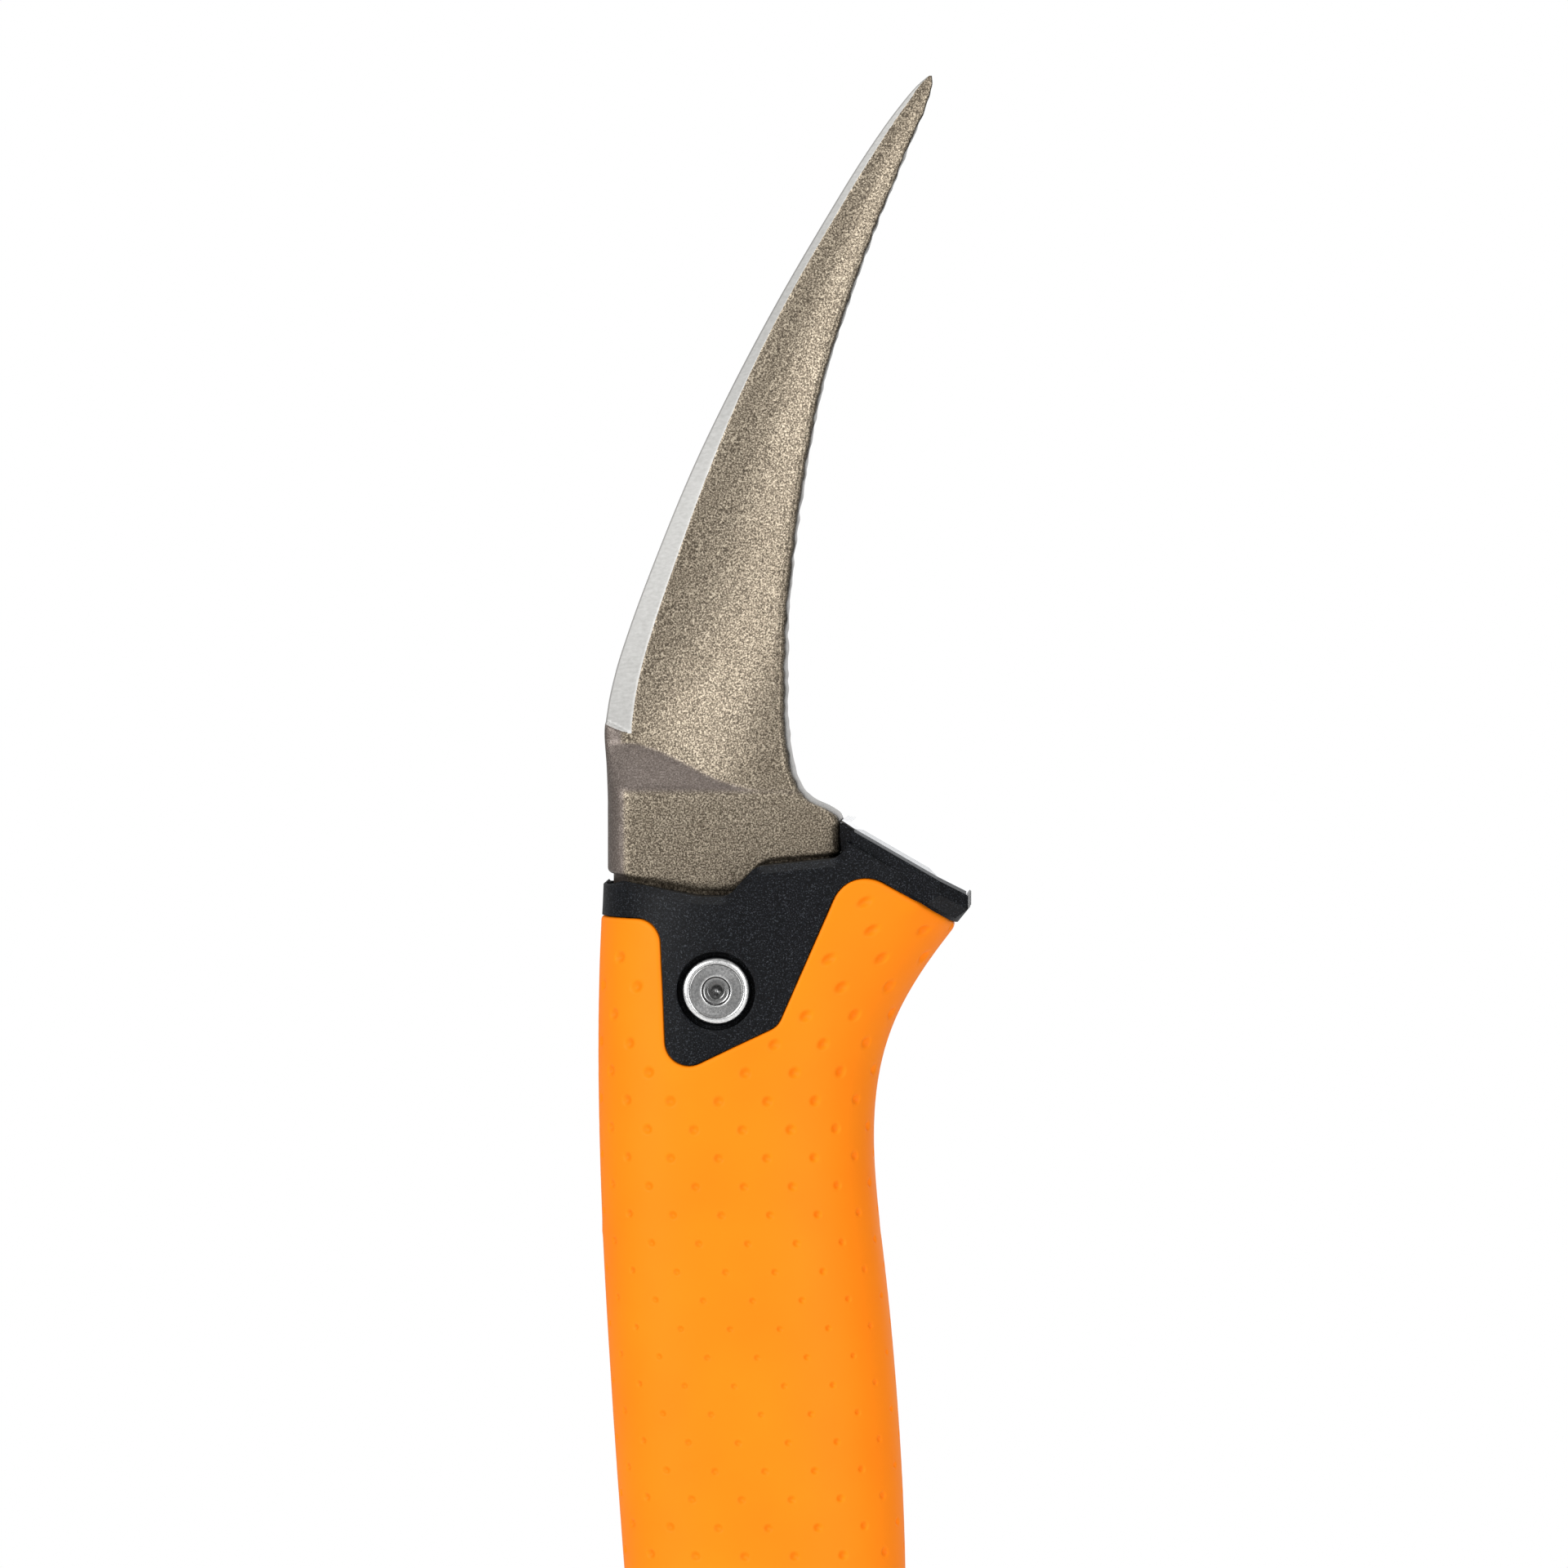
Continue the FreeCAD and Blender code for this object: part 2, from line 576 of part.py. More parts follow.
def make_butt_screw():
    """Socket screw up the cap's well into the core's insert."""
    head = upright(SCREW_HEAD_RADIUS, *SCREW_HEAD_Z)
    screw = head.fuse(upright(SCREW_RADIUS, SCREW_HEAD_Z[1], SCREW_TIP_Z)).removeSplitter()
    key = SCREW_KEY / math.sqrt(3)
    turns = [math.pi * side / 3 for side in range(7)]
    ring = [V(SCREW_X + key * math.cos(turn), key * math.sin(turn), SCREW_HEAD_Z[0]) for turn in turns]
    return screw.cut(Part.Face(Part.makePolygon(ring)).extrude(V(0, 0, SCREW_KEY_DEPTH)))


def make_butt_insert():
    """Brass threaded insert in the core's solid back half."""
    insert = upright(INSERT_RADIUS, *INSERT_Z)
    return insert.cut(upright(SCREW_RADIUS, INSERT_Z[0] - 1, INSERT_Z[1] + 1))


def make_lanyard_eyelet():
    """Flanged tube that lines the lanyard hole."""
    reach = EYELET_SEAT_Y + EYELET_LIP
    outer_radius = EYELET_BORE + EYELET_WALL
    tube = rod(outer_radius, EYELET_X, EYELET_Z, -reach, reach)
    for y in ((-reach, -EYELET_SEAT_Y), (EYELET_SEAT_Y, reach)):
        tube = tube.fuse(rod(outer_radius + EYELET_FLANGE, EYELET_X, EYELET_Z, *y))
    return tube.removeSplitter().cut(rod(EYELET_BORE, EYELET_X, EYELET_Z, -HALF_DEPTH, HALF_DEPTH))


def build_all():
    """Every piece, by node name."""
    limit = collar_limit()
    outer = chamfered_seat(handle_body().common(limit))
    inner = handle_body(GRIP_WALL).common(limit)
    below_seam = seam_cutter()
    apron = prism(rounded_outline(APRON))
    return {
        "pick_blade": make_pick_blade(),
        "tang_sleeve": make_tang_sleeve(),
        "barrel_nut": make_barrel_nut(),
        "cross_bolt": make_cross_bolt(),
        "lock_washer": make_lock_washer(),
        "strike_plate": make_strike_plate(),
        "strike_pin": make_strike_pin(),
        "handle_core": make_handle_core(outer, inner, below_seam, apron),
        "grip_sleeve": make_grip_sleeve(outer, inner, below_seam, apron),
        "butt_cap": make_butt_cap(outer, below_seam),
        "butt_screw": make_butt_screw(),
        "butt_insert": make_butt_insert(),
        "lanyard_eyelet": make_lanyard_eyelet(),
    }


def main():
    os.makedirs("parts", exist_ok=True)
    for name, shape in build_all().items():
        size = shape.BoundBox
        spans = [round(v, 2) for v in (size.XMin, size.XMax, size.YMin, size.YMax, size.ZMin, size.ZMax)]
        print(name, shape.isValid(), len(shape.Solids), round(shape.Volume, 1), spans)
        shape.exportStep(f"parts/{name}.step")


main()
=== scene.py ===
"""Looks of the short hand pick: forged blade, black collar with a striking plate, and a dimpled orange grip.

Metres, in the frame of the CAD model: +Z from the butt to the tip, +X from the ground edge to the spine.
Sizes of the pieces are named in millimetres and turned into metres by MM.
"""

import math

import bpy
import numpy as np
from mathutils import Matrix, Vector, geometry
from mathutils.bvhtree import BVHTree


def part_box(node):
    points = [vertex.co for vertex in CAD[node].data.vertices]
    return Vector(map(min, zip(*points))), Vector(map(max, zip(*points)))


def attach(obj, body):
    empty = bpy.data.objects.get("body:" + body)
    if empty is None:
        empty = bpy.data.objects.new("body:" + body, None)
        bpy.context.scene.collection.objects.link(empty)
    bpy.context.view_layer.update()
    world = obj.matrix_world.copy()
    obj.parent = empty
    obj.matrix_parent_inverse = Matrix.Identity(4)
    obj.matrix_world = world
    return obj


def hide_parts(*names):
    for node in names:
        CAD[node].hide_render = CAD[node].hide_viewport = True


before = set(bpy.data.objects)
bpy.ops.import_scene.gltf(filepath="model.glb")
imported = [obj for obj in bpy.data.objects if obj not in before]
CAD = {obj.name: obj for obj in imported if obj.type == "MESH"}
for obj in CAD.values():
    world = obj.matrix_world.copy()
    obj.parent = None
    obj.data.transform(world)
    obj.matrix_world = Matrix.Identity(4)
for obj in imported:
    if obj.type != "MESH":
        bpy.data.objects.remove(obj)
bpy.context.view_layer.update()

MM = 0.001
BODY = "root"
TIP_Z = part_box("pick_blade")[1].z / MM
nut_low, nut_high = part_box("barrel_nut")
BOLT_X = (nut_low.x + nut_high.x) / 2 / MM
BOLT_Z = (nut_low.z + nut_high.z) / 2 / MM


# ---------------------------------------------------------------- helpers


def smooth_step(low, high, value):
    """0 below low, 1 above high, and a smooth rise between."""
    share = np.clip((value - low) / (high - low), 0.0, 1.0)
    return share * share * (3 - 2 * share)


def soft_max(a, b, width):
    """The larger of two heights, with the crease between them rounded over width."""
    share = np.clip(0.5 + (a - b) / (2 * width), 0.0, 1.0)
    return a * share + b * (1 - share) + width * share * (1 - share)


def soft_min(a, b, width):
    """The smaller of two heights, with the ridge between them rounded over width."""
    return -soft_max(-a, -b, width)


def spline(knots, at):
    """A smooth curve through (place, value) knots, with limited slopes so that it never overshoots."""
    places, values = np.array(knots, float).T
    gaps = np.diff(places)
    steps = np.diff(values) / gaps
    slopes = np.zeros(len(places))
    slopes[0], slopes[-1] = steps[0], steps[-1]
    same = steps[:-1] * steps[1:] > 0
    weight_a = 2 * gaps[1:] + gaps[:-1]
    weight_b = gaps[1:] + 2 * gaps[:-1]
    safe = np.where(same, steps[:-1] * steps[1:], 1.0)
    harmonic = (weight_a + weight_b) * safe / (weight_a * steps[1:] + weight_b * steps[:-1] + 1e-30 * ~same)
    slopes[1:-1] = np.where(same, harmonic, 0.0)
    at = np.clip(at, places[0], places[-1])
    i = np.clip(np.searchsorted(places, at) - 1, 0, len(gaps) - 1)
    t = (at - places[i]) / gaps[i]
    return (
        values[i] * (1 + 2 * t) * (1 - t) ** 2
        + slopes[i] * gaps[i] * t * (1 - t) ** 2
        + values[i + 1] * t**2 * (3 - 2 * t)
        + slopes[i + 1] * gaps[i] * t**2 * (t - 1)
    )


WAVE_COUNT = 24


def waves(points, length, seed):
    """A smooth random field of about -1 to 1 over 3-D points, with features of about the given length."""
    random = np.random.default_rng(seed)
    total = np.zeros(len(points))
    for _ in range(WAVE_COUNT):
        direction = random.normal(size=3)
        direction /= np.linalg.norm(direction)
        turns = 2 * math.pi / (length * random.uniform(0.7, 1.6))
        total += np.sin(points @ direction * turns + random.uniform(0, 2 * math.pi))
    return total / math.sqrt(WAVE_COUNT)


def new_object(name, vertices, faces, material):
    """A smooth mesh object of the given vertices and faces, riding on the tool's one body."""
    mesh = bpy.data.meshes.new(name)
    mesh.from_pydata([tuple(v) for v in vertices], [], [tuple(int(i) for i in f) for f in faces])
    mesh.validate()
    mesh.update()
    mesh.polygons.foreach_set("use_smooth", [True] * len(mesh.polygons))
    piece = bpy.data.objects.new(name, mesh)
    bpy.context.scene.collection.objects.link(piece)
    piece.data.materials.append(material)
    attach(piece, BODY)
    return piece


def add_layer(piece, name, values):
    """A vertex layer that the piece's material reads by name."""
    layer = piece.data.attributes.new(name, "FLOAT", "POINT")
    layer.data.foreach_set("value", values.astype(np.float32))


def loop_faces(rows, columns):
    """Quads between rows of a closed loop of columns."""
    r, c = np.meshgrid(np.arange(rows - 1), np.arange(columns), indexing="ij")
    following = (c + 1) % columns
    corners = [r * columns + c, r * columns + following, (r + 1) * columns + following, (r + 1) * columns + c]
    return np.stack(corners, axis=-1).reshape(-1, 4)


def cad_tree(*names):
    """A ray-casting tree of some CAD nodes."""
    vertices, faces = [], []
    for name in names:
        mesh = CAD[name].data
        first = len(vertices)
        vertices += [v.co.copy() for v in mesh.vertices]
        faces += [[first + i for i in polygon.vertices] for polygon in mesh.polygons]
    return BVHTree.FromPolygons(vertices, faces)


# ---------------------------------------------------------------- materials


class Nodes:
    """Short names for building one node material."""

    def __init__(self, name):
        self.material = bpy.data.materials.new(name)
        self.material.use_nodes = True
        self.tree = self.material.node_tree
        self.shader = self.tree.nodes["Principled BSDF"]
        self.place = self.add("TexCoord").outputs["Object"]

    def join(self, value, socket):
        """Links a socket, or sets it to a number, a vector or a colour."""
        if isinstance(value, bpy.types.NodeSocket):
            self.tree.links.new(value, socket)
        elif socket.type == "RGBA":
            socket.default_value = (*value, 1)
        else:
            socket.default_value = value

    def add(self, kind, **inputs):
        """A node of that kind, its inputs set to values or linked to sockets."""
        node = self.tree.nodes.new("ShaderNode" + kind)
        for key, value in inputs.items():
            self.join(value, node.inputs[key])
        return node

    def math(self, operation, *values):
        """The result of a Math node."""
        node = self.add("Math")
        node.operation = operation
        for socket, value in zip(node.inputs, values):
            self.join(value, socket)
        return node.outputs[0]

    def noise(self, feature, detail=2.0, roughness=0.5, stretch=None):
        """A noise field with features of the given size in metres, squeezed by a scale per axis."""
        place = self.place
        if stretch:
            place = self.add("Mapping", Vector=place, Scale=stretch).outputs["Vector"]
        node = self.add("TexNoise", Vector=place, Scale=1 / feature, Detail=detail, Roughness=roughness)
        return node.outputs["Fac"]

    def ramp(self, fac, stops):
        """A colour ramp of (place, value or colour) stops."""
        node = self.add("ValToRGB", Fac=fac)
        elements = node.color_ramp.elements
        while len(elements) < len(stops):
            elements.new(0.5)
        for element, (place, value) in zip(elements, stops):
            element.position = place
            element.color = (value, value, value, 1) if isinstance(value, float) else (*value, 1)
        return node.outputs["Color"]

    def mix(self, fac, a, b, blend="MIX"):
        """Two colours mixed."""
        node = self.add("Mix")
        node.data_type = "RGBA"
        node.blend_type = blend
        for number, value in ((0, fac), (6, a), (7, b)):
            self.join(value, node.inputs[number])
        return node.outputs[2]

    def multiply(self, a, b):
        """Two colours multiplied."""
        return self.mix(1.0, a, b, "MULTIPLY")

    def mix_normals(self, fac, a, b):
        """Two normals mixed."""
        node = self.add("Mix")
        node.data_type = "VECTOR"
        for number, value in ((0, fac), (4, a), (5, b)):
            self.join(value, node.inputs[number])
        return node.outputs[1]

    def layer(self, name):
        """A mesh's vertex layer of that name."""
        node = self.add("Attribute")
        node.attribute_name = name
        return node.outputs["Fac"]

    def bump(self, height, depth, strength, under=None):
        """A bump of the given depth in metres, over another one if that is given."""
        node = self.add("Bump", Height=height, Distance=depth, Strength=strength)
        if under:
            self.join(under, node.inputs["Normal"])
        return node.outputs["Normal"]

    def finish(self, **inputs):
        """Sets or links the shader's inputs and gives the material."""
        for key, value in inputs.items():
            self.join(value, self.shader.inputs[key.replace("_", " ")])
        return self.material


def forged_material():
    """Taupe forged skin with a metallic grain, mauve on the ramp's smoother faces with painted shade there, a
    strip of painted shade down the root's rounded front, painted shade along the spine's back, and bright
    steel where it was ground.

    The vertex layer "ground" is positive on the ground bevel, the mauve layer is 1 on the ramp's smoother
    faces and on the painted shade down the rounded front, and
    "way" and "back" are the distances from the cutting edge and from the spine's back in metres.
    """
    n = Nodes("forged_blade")
    ground, mauve_and_shade, way, back = (n.layer(name) for name in ("ground", "mauve_and_shade", "way", "back"))
    ragged = n.math("MULTIPLY_ADD", n.noise(0.9 * MM, 3.0), 0.10 * MM, -0.05 * MM)
    is_ground = n.math("GREATER_THAN", n.math("ADD", ground, ragged), 0.0)

    grain = n.noise(0.24 * MM, 3.0, 0.62)
    coarse = n.noise(1.1 * MM, 3.0)
    taupe = n.ramp(grain, [(0.36, (0.052, 0.040, 0.027)), (0.50, (0.190, 0.155, 0.112)),
                           (0.64, (0.52, 0.45, 0.345))])
    # mauve: the ramp's own smoother tone, which also carries painted shade there and down the rounded front
    mauve = n.ramp(grain, [(0.30, (0.100, 0.081, 0.072)), (0.50, (0.165, 0.136, 0.119)),
                           (0.72, (0.30, 0.26, 0.235))])
    patches = n.ramp(n.noise(7 * MM, 3.0), [(0.32, (0.90, 0.89, 0.88)), (0.70, (1.0, 1.0, 1.0))])
    # Painted shade: the skin darkens within 0.4 mm of the spine's back, where the spine's side turns away
    # from the light.
    spine_shade = n.ramp(n.math("DIVIDE", back, MM), [(0.04, 0.22), (0.40, 1.0)])
    skin = n.multiply(n.multiply(n.mix(mauve_and_shade, taupe, mauve), patches), spine_shade)

    lines = n.noise(0.42 * MM, 3.0, 0.6, stretch=(0.04, 1.0, 1.2))
    steel = n.ramp(lines, [(0.3, (0.40, 0.395, 0.38)), (0.7, (0.50, 0.495, 0.48))])
    edge_line = n.ramp(n.math("DIVIDE", way, MM), [(0.12, 1.0), (0.30, 0.0)])
    steel = n.mix(edge_line, steel, (0.25, 0.245, 0.235))
    skin_normal = n.bump(grain, 0.055 * MM, 0.9, n.bump(coarse, 0.07 * MM, 0.5))
    steel_normal = n.bump(lines, 0.008 * MM, 0.4)
    return n.finish(
        Base_Color=n.mix(is_ground, skin, steel),
        Metallic=n.math("MULTIPLY_ADD", is_ground, -0.45, 0.65),
        Roughness=n.math("MULTIPLY_ADD", is_ground, 0.02, 0.42),
        Normal=n.mix_normals(is_ground, skin_normal, steel_normal),
    )


def core_material():
    """Black glass-filled nylon with a fine spark-eroded grain."""
    n = Nodes("black_nylon")
    grain = n.noise(0.21 * MM, 3.0, 0.68)
    fibres = n.noise(1.3 * MM, 2.0)
    colour = n.ramp(grain, [(0.44, (0.0008, 0.0010, 0.0016)), (0.56, (0.0038, 0.0048, 0.0070)),
                            (0.67, (0.050, 0.055, 0.064))])
    return n.finish(
        Base_Color=colour,
        Roughness=n.math("MULTIPLY_ADD", fibres, 0.10, 0.40),
        Specular_IOR_Level=0.14,
        Normal=n.bump(grain, 0.045 * MM, 0.9),
    )


def rubber_material():
    """Orange soft-touch elastomer, matte, with a faint mould grain."""
    n = Nodes("orange_elastomer")
    tone = n.noise(14 * MM, 2.0)
    grain = n.noise(0.15 * MM, 2.0)
    colour = n.ramp(tone, [(0.3, (1.0, 0.232, 0.0010)), (0.7, (1.0, 0.252, 0.0018))])
    return n.finish(
        Base_Color=colour,
        Roughness=n.math("MULTIPLY_ADD", grain, 0.08, 0.52),
        Specular_IOR_Level=0.16,
        Normal=n.bump(grain, 0.006 * MM, 0.6),
    )


def brushed_material():
    """Bright brushed steel."""
    n = Nodes("brushed_steel")
    marks = n.noise(0.4 * MM, 3.0, 0.6, stretch=(0.06, 1.0, 1.0))
    speckle = n.noise(0.35 * MM, 3.0)
    return n.finish(
        Base_Color=n.mix(speckle, (0.26, 0.265, 0.275), (0.46, 0.465, 0.475)),
        Metallic=1.0,
        Roughness=n.math("MULTIPLY_ADD", marks, 0.12, 0.20),
        Normal=n.bump(marks, 0.006 * MM, 0.4, n.bump(speckle, 0.01 * MM, 0.3)),
    )


def plain_material(name, dark, light, roughness, metallic=0.0):
    """A mottled material for the pieces inside."""
    n = Nodes(name)
    grain = n.noise(0.4 * MM, 3.0)
    return n.finish(
        Base_Color=n.mix(grain, dark, light),
        Metallic=metallic,
        Roughness=n.math("MULTIPLY_ADD", grain, 0.15, roughness),
        Normal=n.bump(grain, 0.01 * MM, 0.5),
    )


# ---------------------------------------------------------------- forged blade

# Height and x of the head's ground edge and of its spine.
EDGE = [(247.0, -19.1), (263.0, -19.1), (268.0, -19.35), (273.0, -19.75), (277.0, -19.3), (282.0, -18.2),
        (288.0, -16.3), (300.0, -11.8), (312.0, -6.8), (324.0, -1.0), (336.0, 5.4), (348.0, 12.4),
        (358.0, 18.6), (365.0, 23.6), (368.4, 26.6), (369.4, 27.9)]
SPINE = [(247.0, 15.2), (259.6, 15.2), (261.0, 14.8), (262.2, 13.2), (263.2, 11.0), (264.6, 9.5),
         (268.0, 8.0), (272.0, 7.3), (277.0, 6.95), (288.0, 7.1), (300.0, 8.15), (312.0, 9.9), (324.0, 12.3),
         (336.0, 16.0), (348.0, 20.4), (358.0, 24.5), (365.0, 27.4), (368.6, 28.4), (369.4, 28.3)]
# Height and the bevel's width, and the half thickness of the forging at the bevel's border and at the spine.
BEVEL_WIDTH = [(247.0, 4.3), (272.0, 4.1), (288.0, 3.6), (300.0, 3.2), (312.0, 2.7), (324.0, 2.0),
               (336.0, 1.6), (358.0, 1.4), (366.0, 1.0), (369.4, 0.25)]
BEVEL_HALF = [(247.0, 2.5), (272.0, 2.5), (288.0, 2.1), (300.0, 1.8), (324.0, 1.4), (348.0, 1.05),
              (365.0, 0.6), (369.4, 0.16)]
SPINE_HALF = [(247.0, 7.3), (266.0, 7.2), (276.0, 6.4), (288.0, 5.5), (300.0, 4.9), (312.0, 4.3),
              (336.0, 3.1), (358.0, 1.9), (369.4, 0.3)]
# Two heights, and at each the share of the face's width where it is at its thickest, and its hollow's power.
THICKEST = ((262.0, 296.0), (0.58, 1.0))
HOLLOW = ((268.0, 302.0), (1.25, 2.7))
FACE_SOFTNESS = 0.5
ROOT_HALF = 7.4
ROOT_CORNER = 4.0  # radius of the root's front corners
ROOT_TOP_Z = 262.0
RAMP_Z = (264.6, 273.4)  # heights between which the ramp falls from the root's thickness
RAMP_END_HALF = 1.2
RAMP_SOFTNESS = 0.8
CREASE_SOFTNESS = 0.35
SPINE_ROUND = 1.1  # radius of the spine's corners
SPINE_ROUND_FROM = 3.0  # half thickness under which that radius shrinks
SPINE_ROUND_LEAST = 0.1  # share of the radius that is left at the tip
LEAST_WIDTH = 0.05
MAUVE_SHADE_RISE = (-0.25, 0.15)  # how far the ramp stands out of the face where its mauve, partly painted shade, begins and is full
MAUVE_SHADE_FOOT = (-0.4, 0.6)  # the same for the height above the ramp's lower end
SHADE_STRIP = 2.6  # width of the strip of painted shade, in mauve, down the root's rounded front, which ends a little above the ramp
SHADE_STRIP_BLUR = 0.4
SHADE_STRIP_ABOVE = 4.0
EDGE_HALF = 0.08
GROUND_END = 274.7  # height of the bevel's lower end at the edge
GROUND_SLANT = 0.45  # how far that end slants down across the bevel
STOP_SLOPE = 5.0  # how steeply the grinding plane leaves the steel past its ends
THINNEST = 0.02
FOOT_GAP = 0.45  # the steel stays this far above the collar's ledge
FOOT_DEPTH = 2.0  # the step under the root goes this far down, into the collar
FOOT_STEP = 0.8
FOOT_ROUND = 0.9
FOOT_SHARE = 0.11  # share of the root's height with the rows of its rounded foot
FOOT_ROWS, ROOT_ROWS, BLADE_ROWS = 9, 34, 330
BEVEL_COLUMNS, FACE_COLUMNS = 15, 46
LEDGE_X = (-14.0, 13.2)  # where the collar's ledge can be measured, just beside the root
LEDGE_Y = -8.6
LEDGE_SAMPLES = 60
LEDGE_END = 5  # samples that give the slope past the ledge's front
FACE_WAVES = ((0.016, 2.6, 11), (0.014, 0.9, 12))  # height, length and seed of the forging's unevenness
SPINE_WAVE = (0.09, 1.7, 13)
SPINE_WAVE_REACH = 2.0
SPINE_WAVE_FROM_Z = 264.0
EVEN_HALF = (0.5, 2.0)  # half thicknesses between which the unevenness sets in


def ledge_height(x):
    """Height of the collar's ledge under the blade's root, measured on the CAD core."""
    tree = cad_tree("handle_core")
    places = np.linspace(*LEDGE_X, LEDGE_SAMPLES)
    heights = []
    for place in places:
        hit = tree.ray_cast(Vector((place, LEDGE_Y, ROOT_TOP_Z)) * MM, Vector((0, 0, -1)))
        heights.append(hit[0].z / MM)
    slope = (heights[LEDGE_END] - heights[0]) / (places[LEDGE_END] - places[0])
    return np.interp(x, places, heights) + np.minimum(x - places[0], 0) * slope


def head_columns():
    """Shares of the bevel and of the face behind it for each column of a side, denser at the cutting edge."""
    bevel = 1 - np.cos(np.linspace(0, math.pi / 2, BEVEL_COLUMNS))
    face = np.linspace(0, 1, FACE_COLUMNS)[1:]
    return np.concatenate([np.stack([bevel, 0 * bevel], 1), np.stack([0 * face + 1, face], 1)])


def across(shares, z, bevel):
    """x of a row's columns at heights z, where the bevel is that wide."""
    edge, spine = spline(EDGE, z), spline(SPINE, z)
    return np.clip(edge + shares[:, 0] * bevel + shares[:, 1] * (spine - edge - bevel), edge, spine)


def rising(heights, values, z):
    """The first value below two heights, the second above, and a smooth rise between."""
    return values[0] + (values[1] - values[0]) * smooth_step(*heights, z)


def head_height(x, z, edge, spine):
    """Half thickness of the unground forging at x, z, and how far it is painted mauve: on the ramp's smoother
    faces, partly as painted shade, and in a strip of painted shade down the rounded front.
    """
    inner = edge + spline(BEVEL_WIDTH, z)
    bevel_half = spline(BEVEL_HALF, z)
    spine_half = spline(SPINE_HALF, z)
    way_across = np.clip((x - inner) / np.maximum(spine - inner, LEAST_WIDTH), 0, 1)
    share = soft_min((way_across / rising(*THICKEST, z)) ** rising(*HOLLOW, z), 0 * z + 1, FACE_SOFTNESS)
    face = bevel_half + (spine_half - bevel_half) * np.clip(share, 0, 1)
    ramp = ROOT_HALF + (RAMP_Z[0] - z) * (ROOT_HALF - RAMP_END_HALF) / (RAMP_Z[1] - RAMP_Z[0])
    ramp = soft_min(ramp, 0 * z + ROOT_HALF, RAMP_SOFTNESS)
    body = soft_max(face, ramp, CREASE_SOFTNESS)
    in_front = np.clip(ROOT_CORNER - (x - edge), 0, ROOT_CORNER)
    front_round = ROOT_CORNER - np.sqrt(ROOT_CORNER**2 - in_front**2)
    front_round = front_round * np.clip(body / ROOT_HALF, 0, 1)
    radius = SPINE_ROUND * np.clip(spine_half / SPINE_ROUND_FROM, SPINE_ROUND_LEAST, 1.0)
    behind = np.clip(radius - (spine - x), 0, radius)
    back_round = radius - np.sqrt(np.maximum(radius**2 - behind**2, 0))
    # The mauve mask: on the ramp, a smoother mauve finish that also carries painted shade; down the rounded
    # front, a strip of painted shade where the corner turns from the light.
    on_ramp = smooth_step(*MAUVE_SHADE_RISE, ramp - face) * smooth_step(*MAUVE_SHADE_FOOT, z - RAMP_Z[0])
    in_shade_strip = smooth_step(SHADE_STRIP + SHADE_STRIP_BLUR, SHADE_STRIP - SHADE_STRIP_BLUR, x - edge) * (z < RAMP_Z[1] + SHADE_STRIP_ABOVE)
    return body - front_round - back_round, np.maximum(on_ramp, in_shade_strip)


def root_rows(shares):
    """x, z and inset of the root's rows, from its step under the ledge and its rounded foot to its top."""
    bevel = spline(BEVEL_WIDTH, ROOT_TOP_Z)
    bottom = ledge_height(across(shares, ROOT_TOP_Z, bevel)) + FOOT_GAP
    foot = across(shares, bottom, bevel)
    rows = [(foot, bottom - FOOT_DEPTH, FOOT_STEP), (foot, bottom, FOOT_STEP)]
    low_shares = np.linspace(0, 1, FOOT_ROWS)[1:] * FOOT_SHARE
    for share in [*low_shares, *np.linspace(FOOT_SHARE, 1, ROOT_ROWS)[1:]]:
        z = bottom + (ROOT_TOP_Z - bottom) * share
        short = max(FOOT_ROUND - (z - bottom)[0], 0)
        rows.append((across(shares, z, bevel), z, FOOT_ROUND - math.sqrt(FOOT_ROUND**2 - short**2)))
    return rows


def blade_rows(shares):
    """x, z and inset of the level rows from the root's top to the tip."""
    rows = []
    for height in np.linspace(ROOT_TOP_Z, TIP_Z, BLADE_ROWS)[1:]:
        z = np.full(len(shares), height)
        rows.append((across(shares, z, spline(BEVEL_WIDTH, z)), z, 0.0))
    return rows


def head_row(x, z, inset):
    """A row's points up one side and back down the other, drawn in by inset, and its layers' values."""
    edge, spine = spline(EDGE, z), spline(SPINE, z)
    bevel = spline(BEVEL_WIDTH, z)
    y, mauve_and_shade = head_height(x, z, edge, spine)
    plane = EDGE_HALF + (x - edge) * (spline(BEVEL_HALF, z) - EDGE_HALF) / bevel
    plane = plane + np.clip(GROUND_END - z - GROUND_SLANT * (x - edge), 0, None) * STOP_SLOPE
    plane = plane + np.clip(x - edge - bevel, 0, None) * STOP_SLOPE
    layers = {"ground": (y - plane) * MM, "mauve_and_shade": mauve_and_shade, "way": (x - edge) * MM,
              "back": (spine - x) * MM}
    middle = (edge + spine) / 2
    x = middle + (x - middle) * (1 - inset / ((spine - edge) / 2))
    y = np.maximum(np.minimum(y, plane) - inset, THINNEST)
    points = np.concatenate([np.stack([x, -y, z], 1), np.stack([x, y, z], 1)[::-1]])
    return points, {name: np.concatenate([values, values[::-1]]) for name, values in layers.items()}


def roughen(points, ground):
    """The forging's unevenness, on its unground sides and along the spine's outline."""
    bumps = sum(height * waves(points, length, seed) for height, length, seed in FACE_WAVES)
    half = np.abs(points[:, 1])
    side = np.clip((half - EVEN_HALF[0]) / (EVEN_HALF[1] - EVEN_HALF[0]), 0, 1)
    points[:, 1] += np.sign(points[:, 1]) * bumps * side * (ground < 0)
    near = smooth_step(SPINE_WAVE_REACH, 0.0, spline(SPINE, points[:, 2]) - points[:, 0])
    height, length, seed = SPINE_WAVE
    points[:, 0] += near * (points[:, 2] > SPINE_WAVE_FROM_Z) * height * waves(points, length, seed)


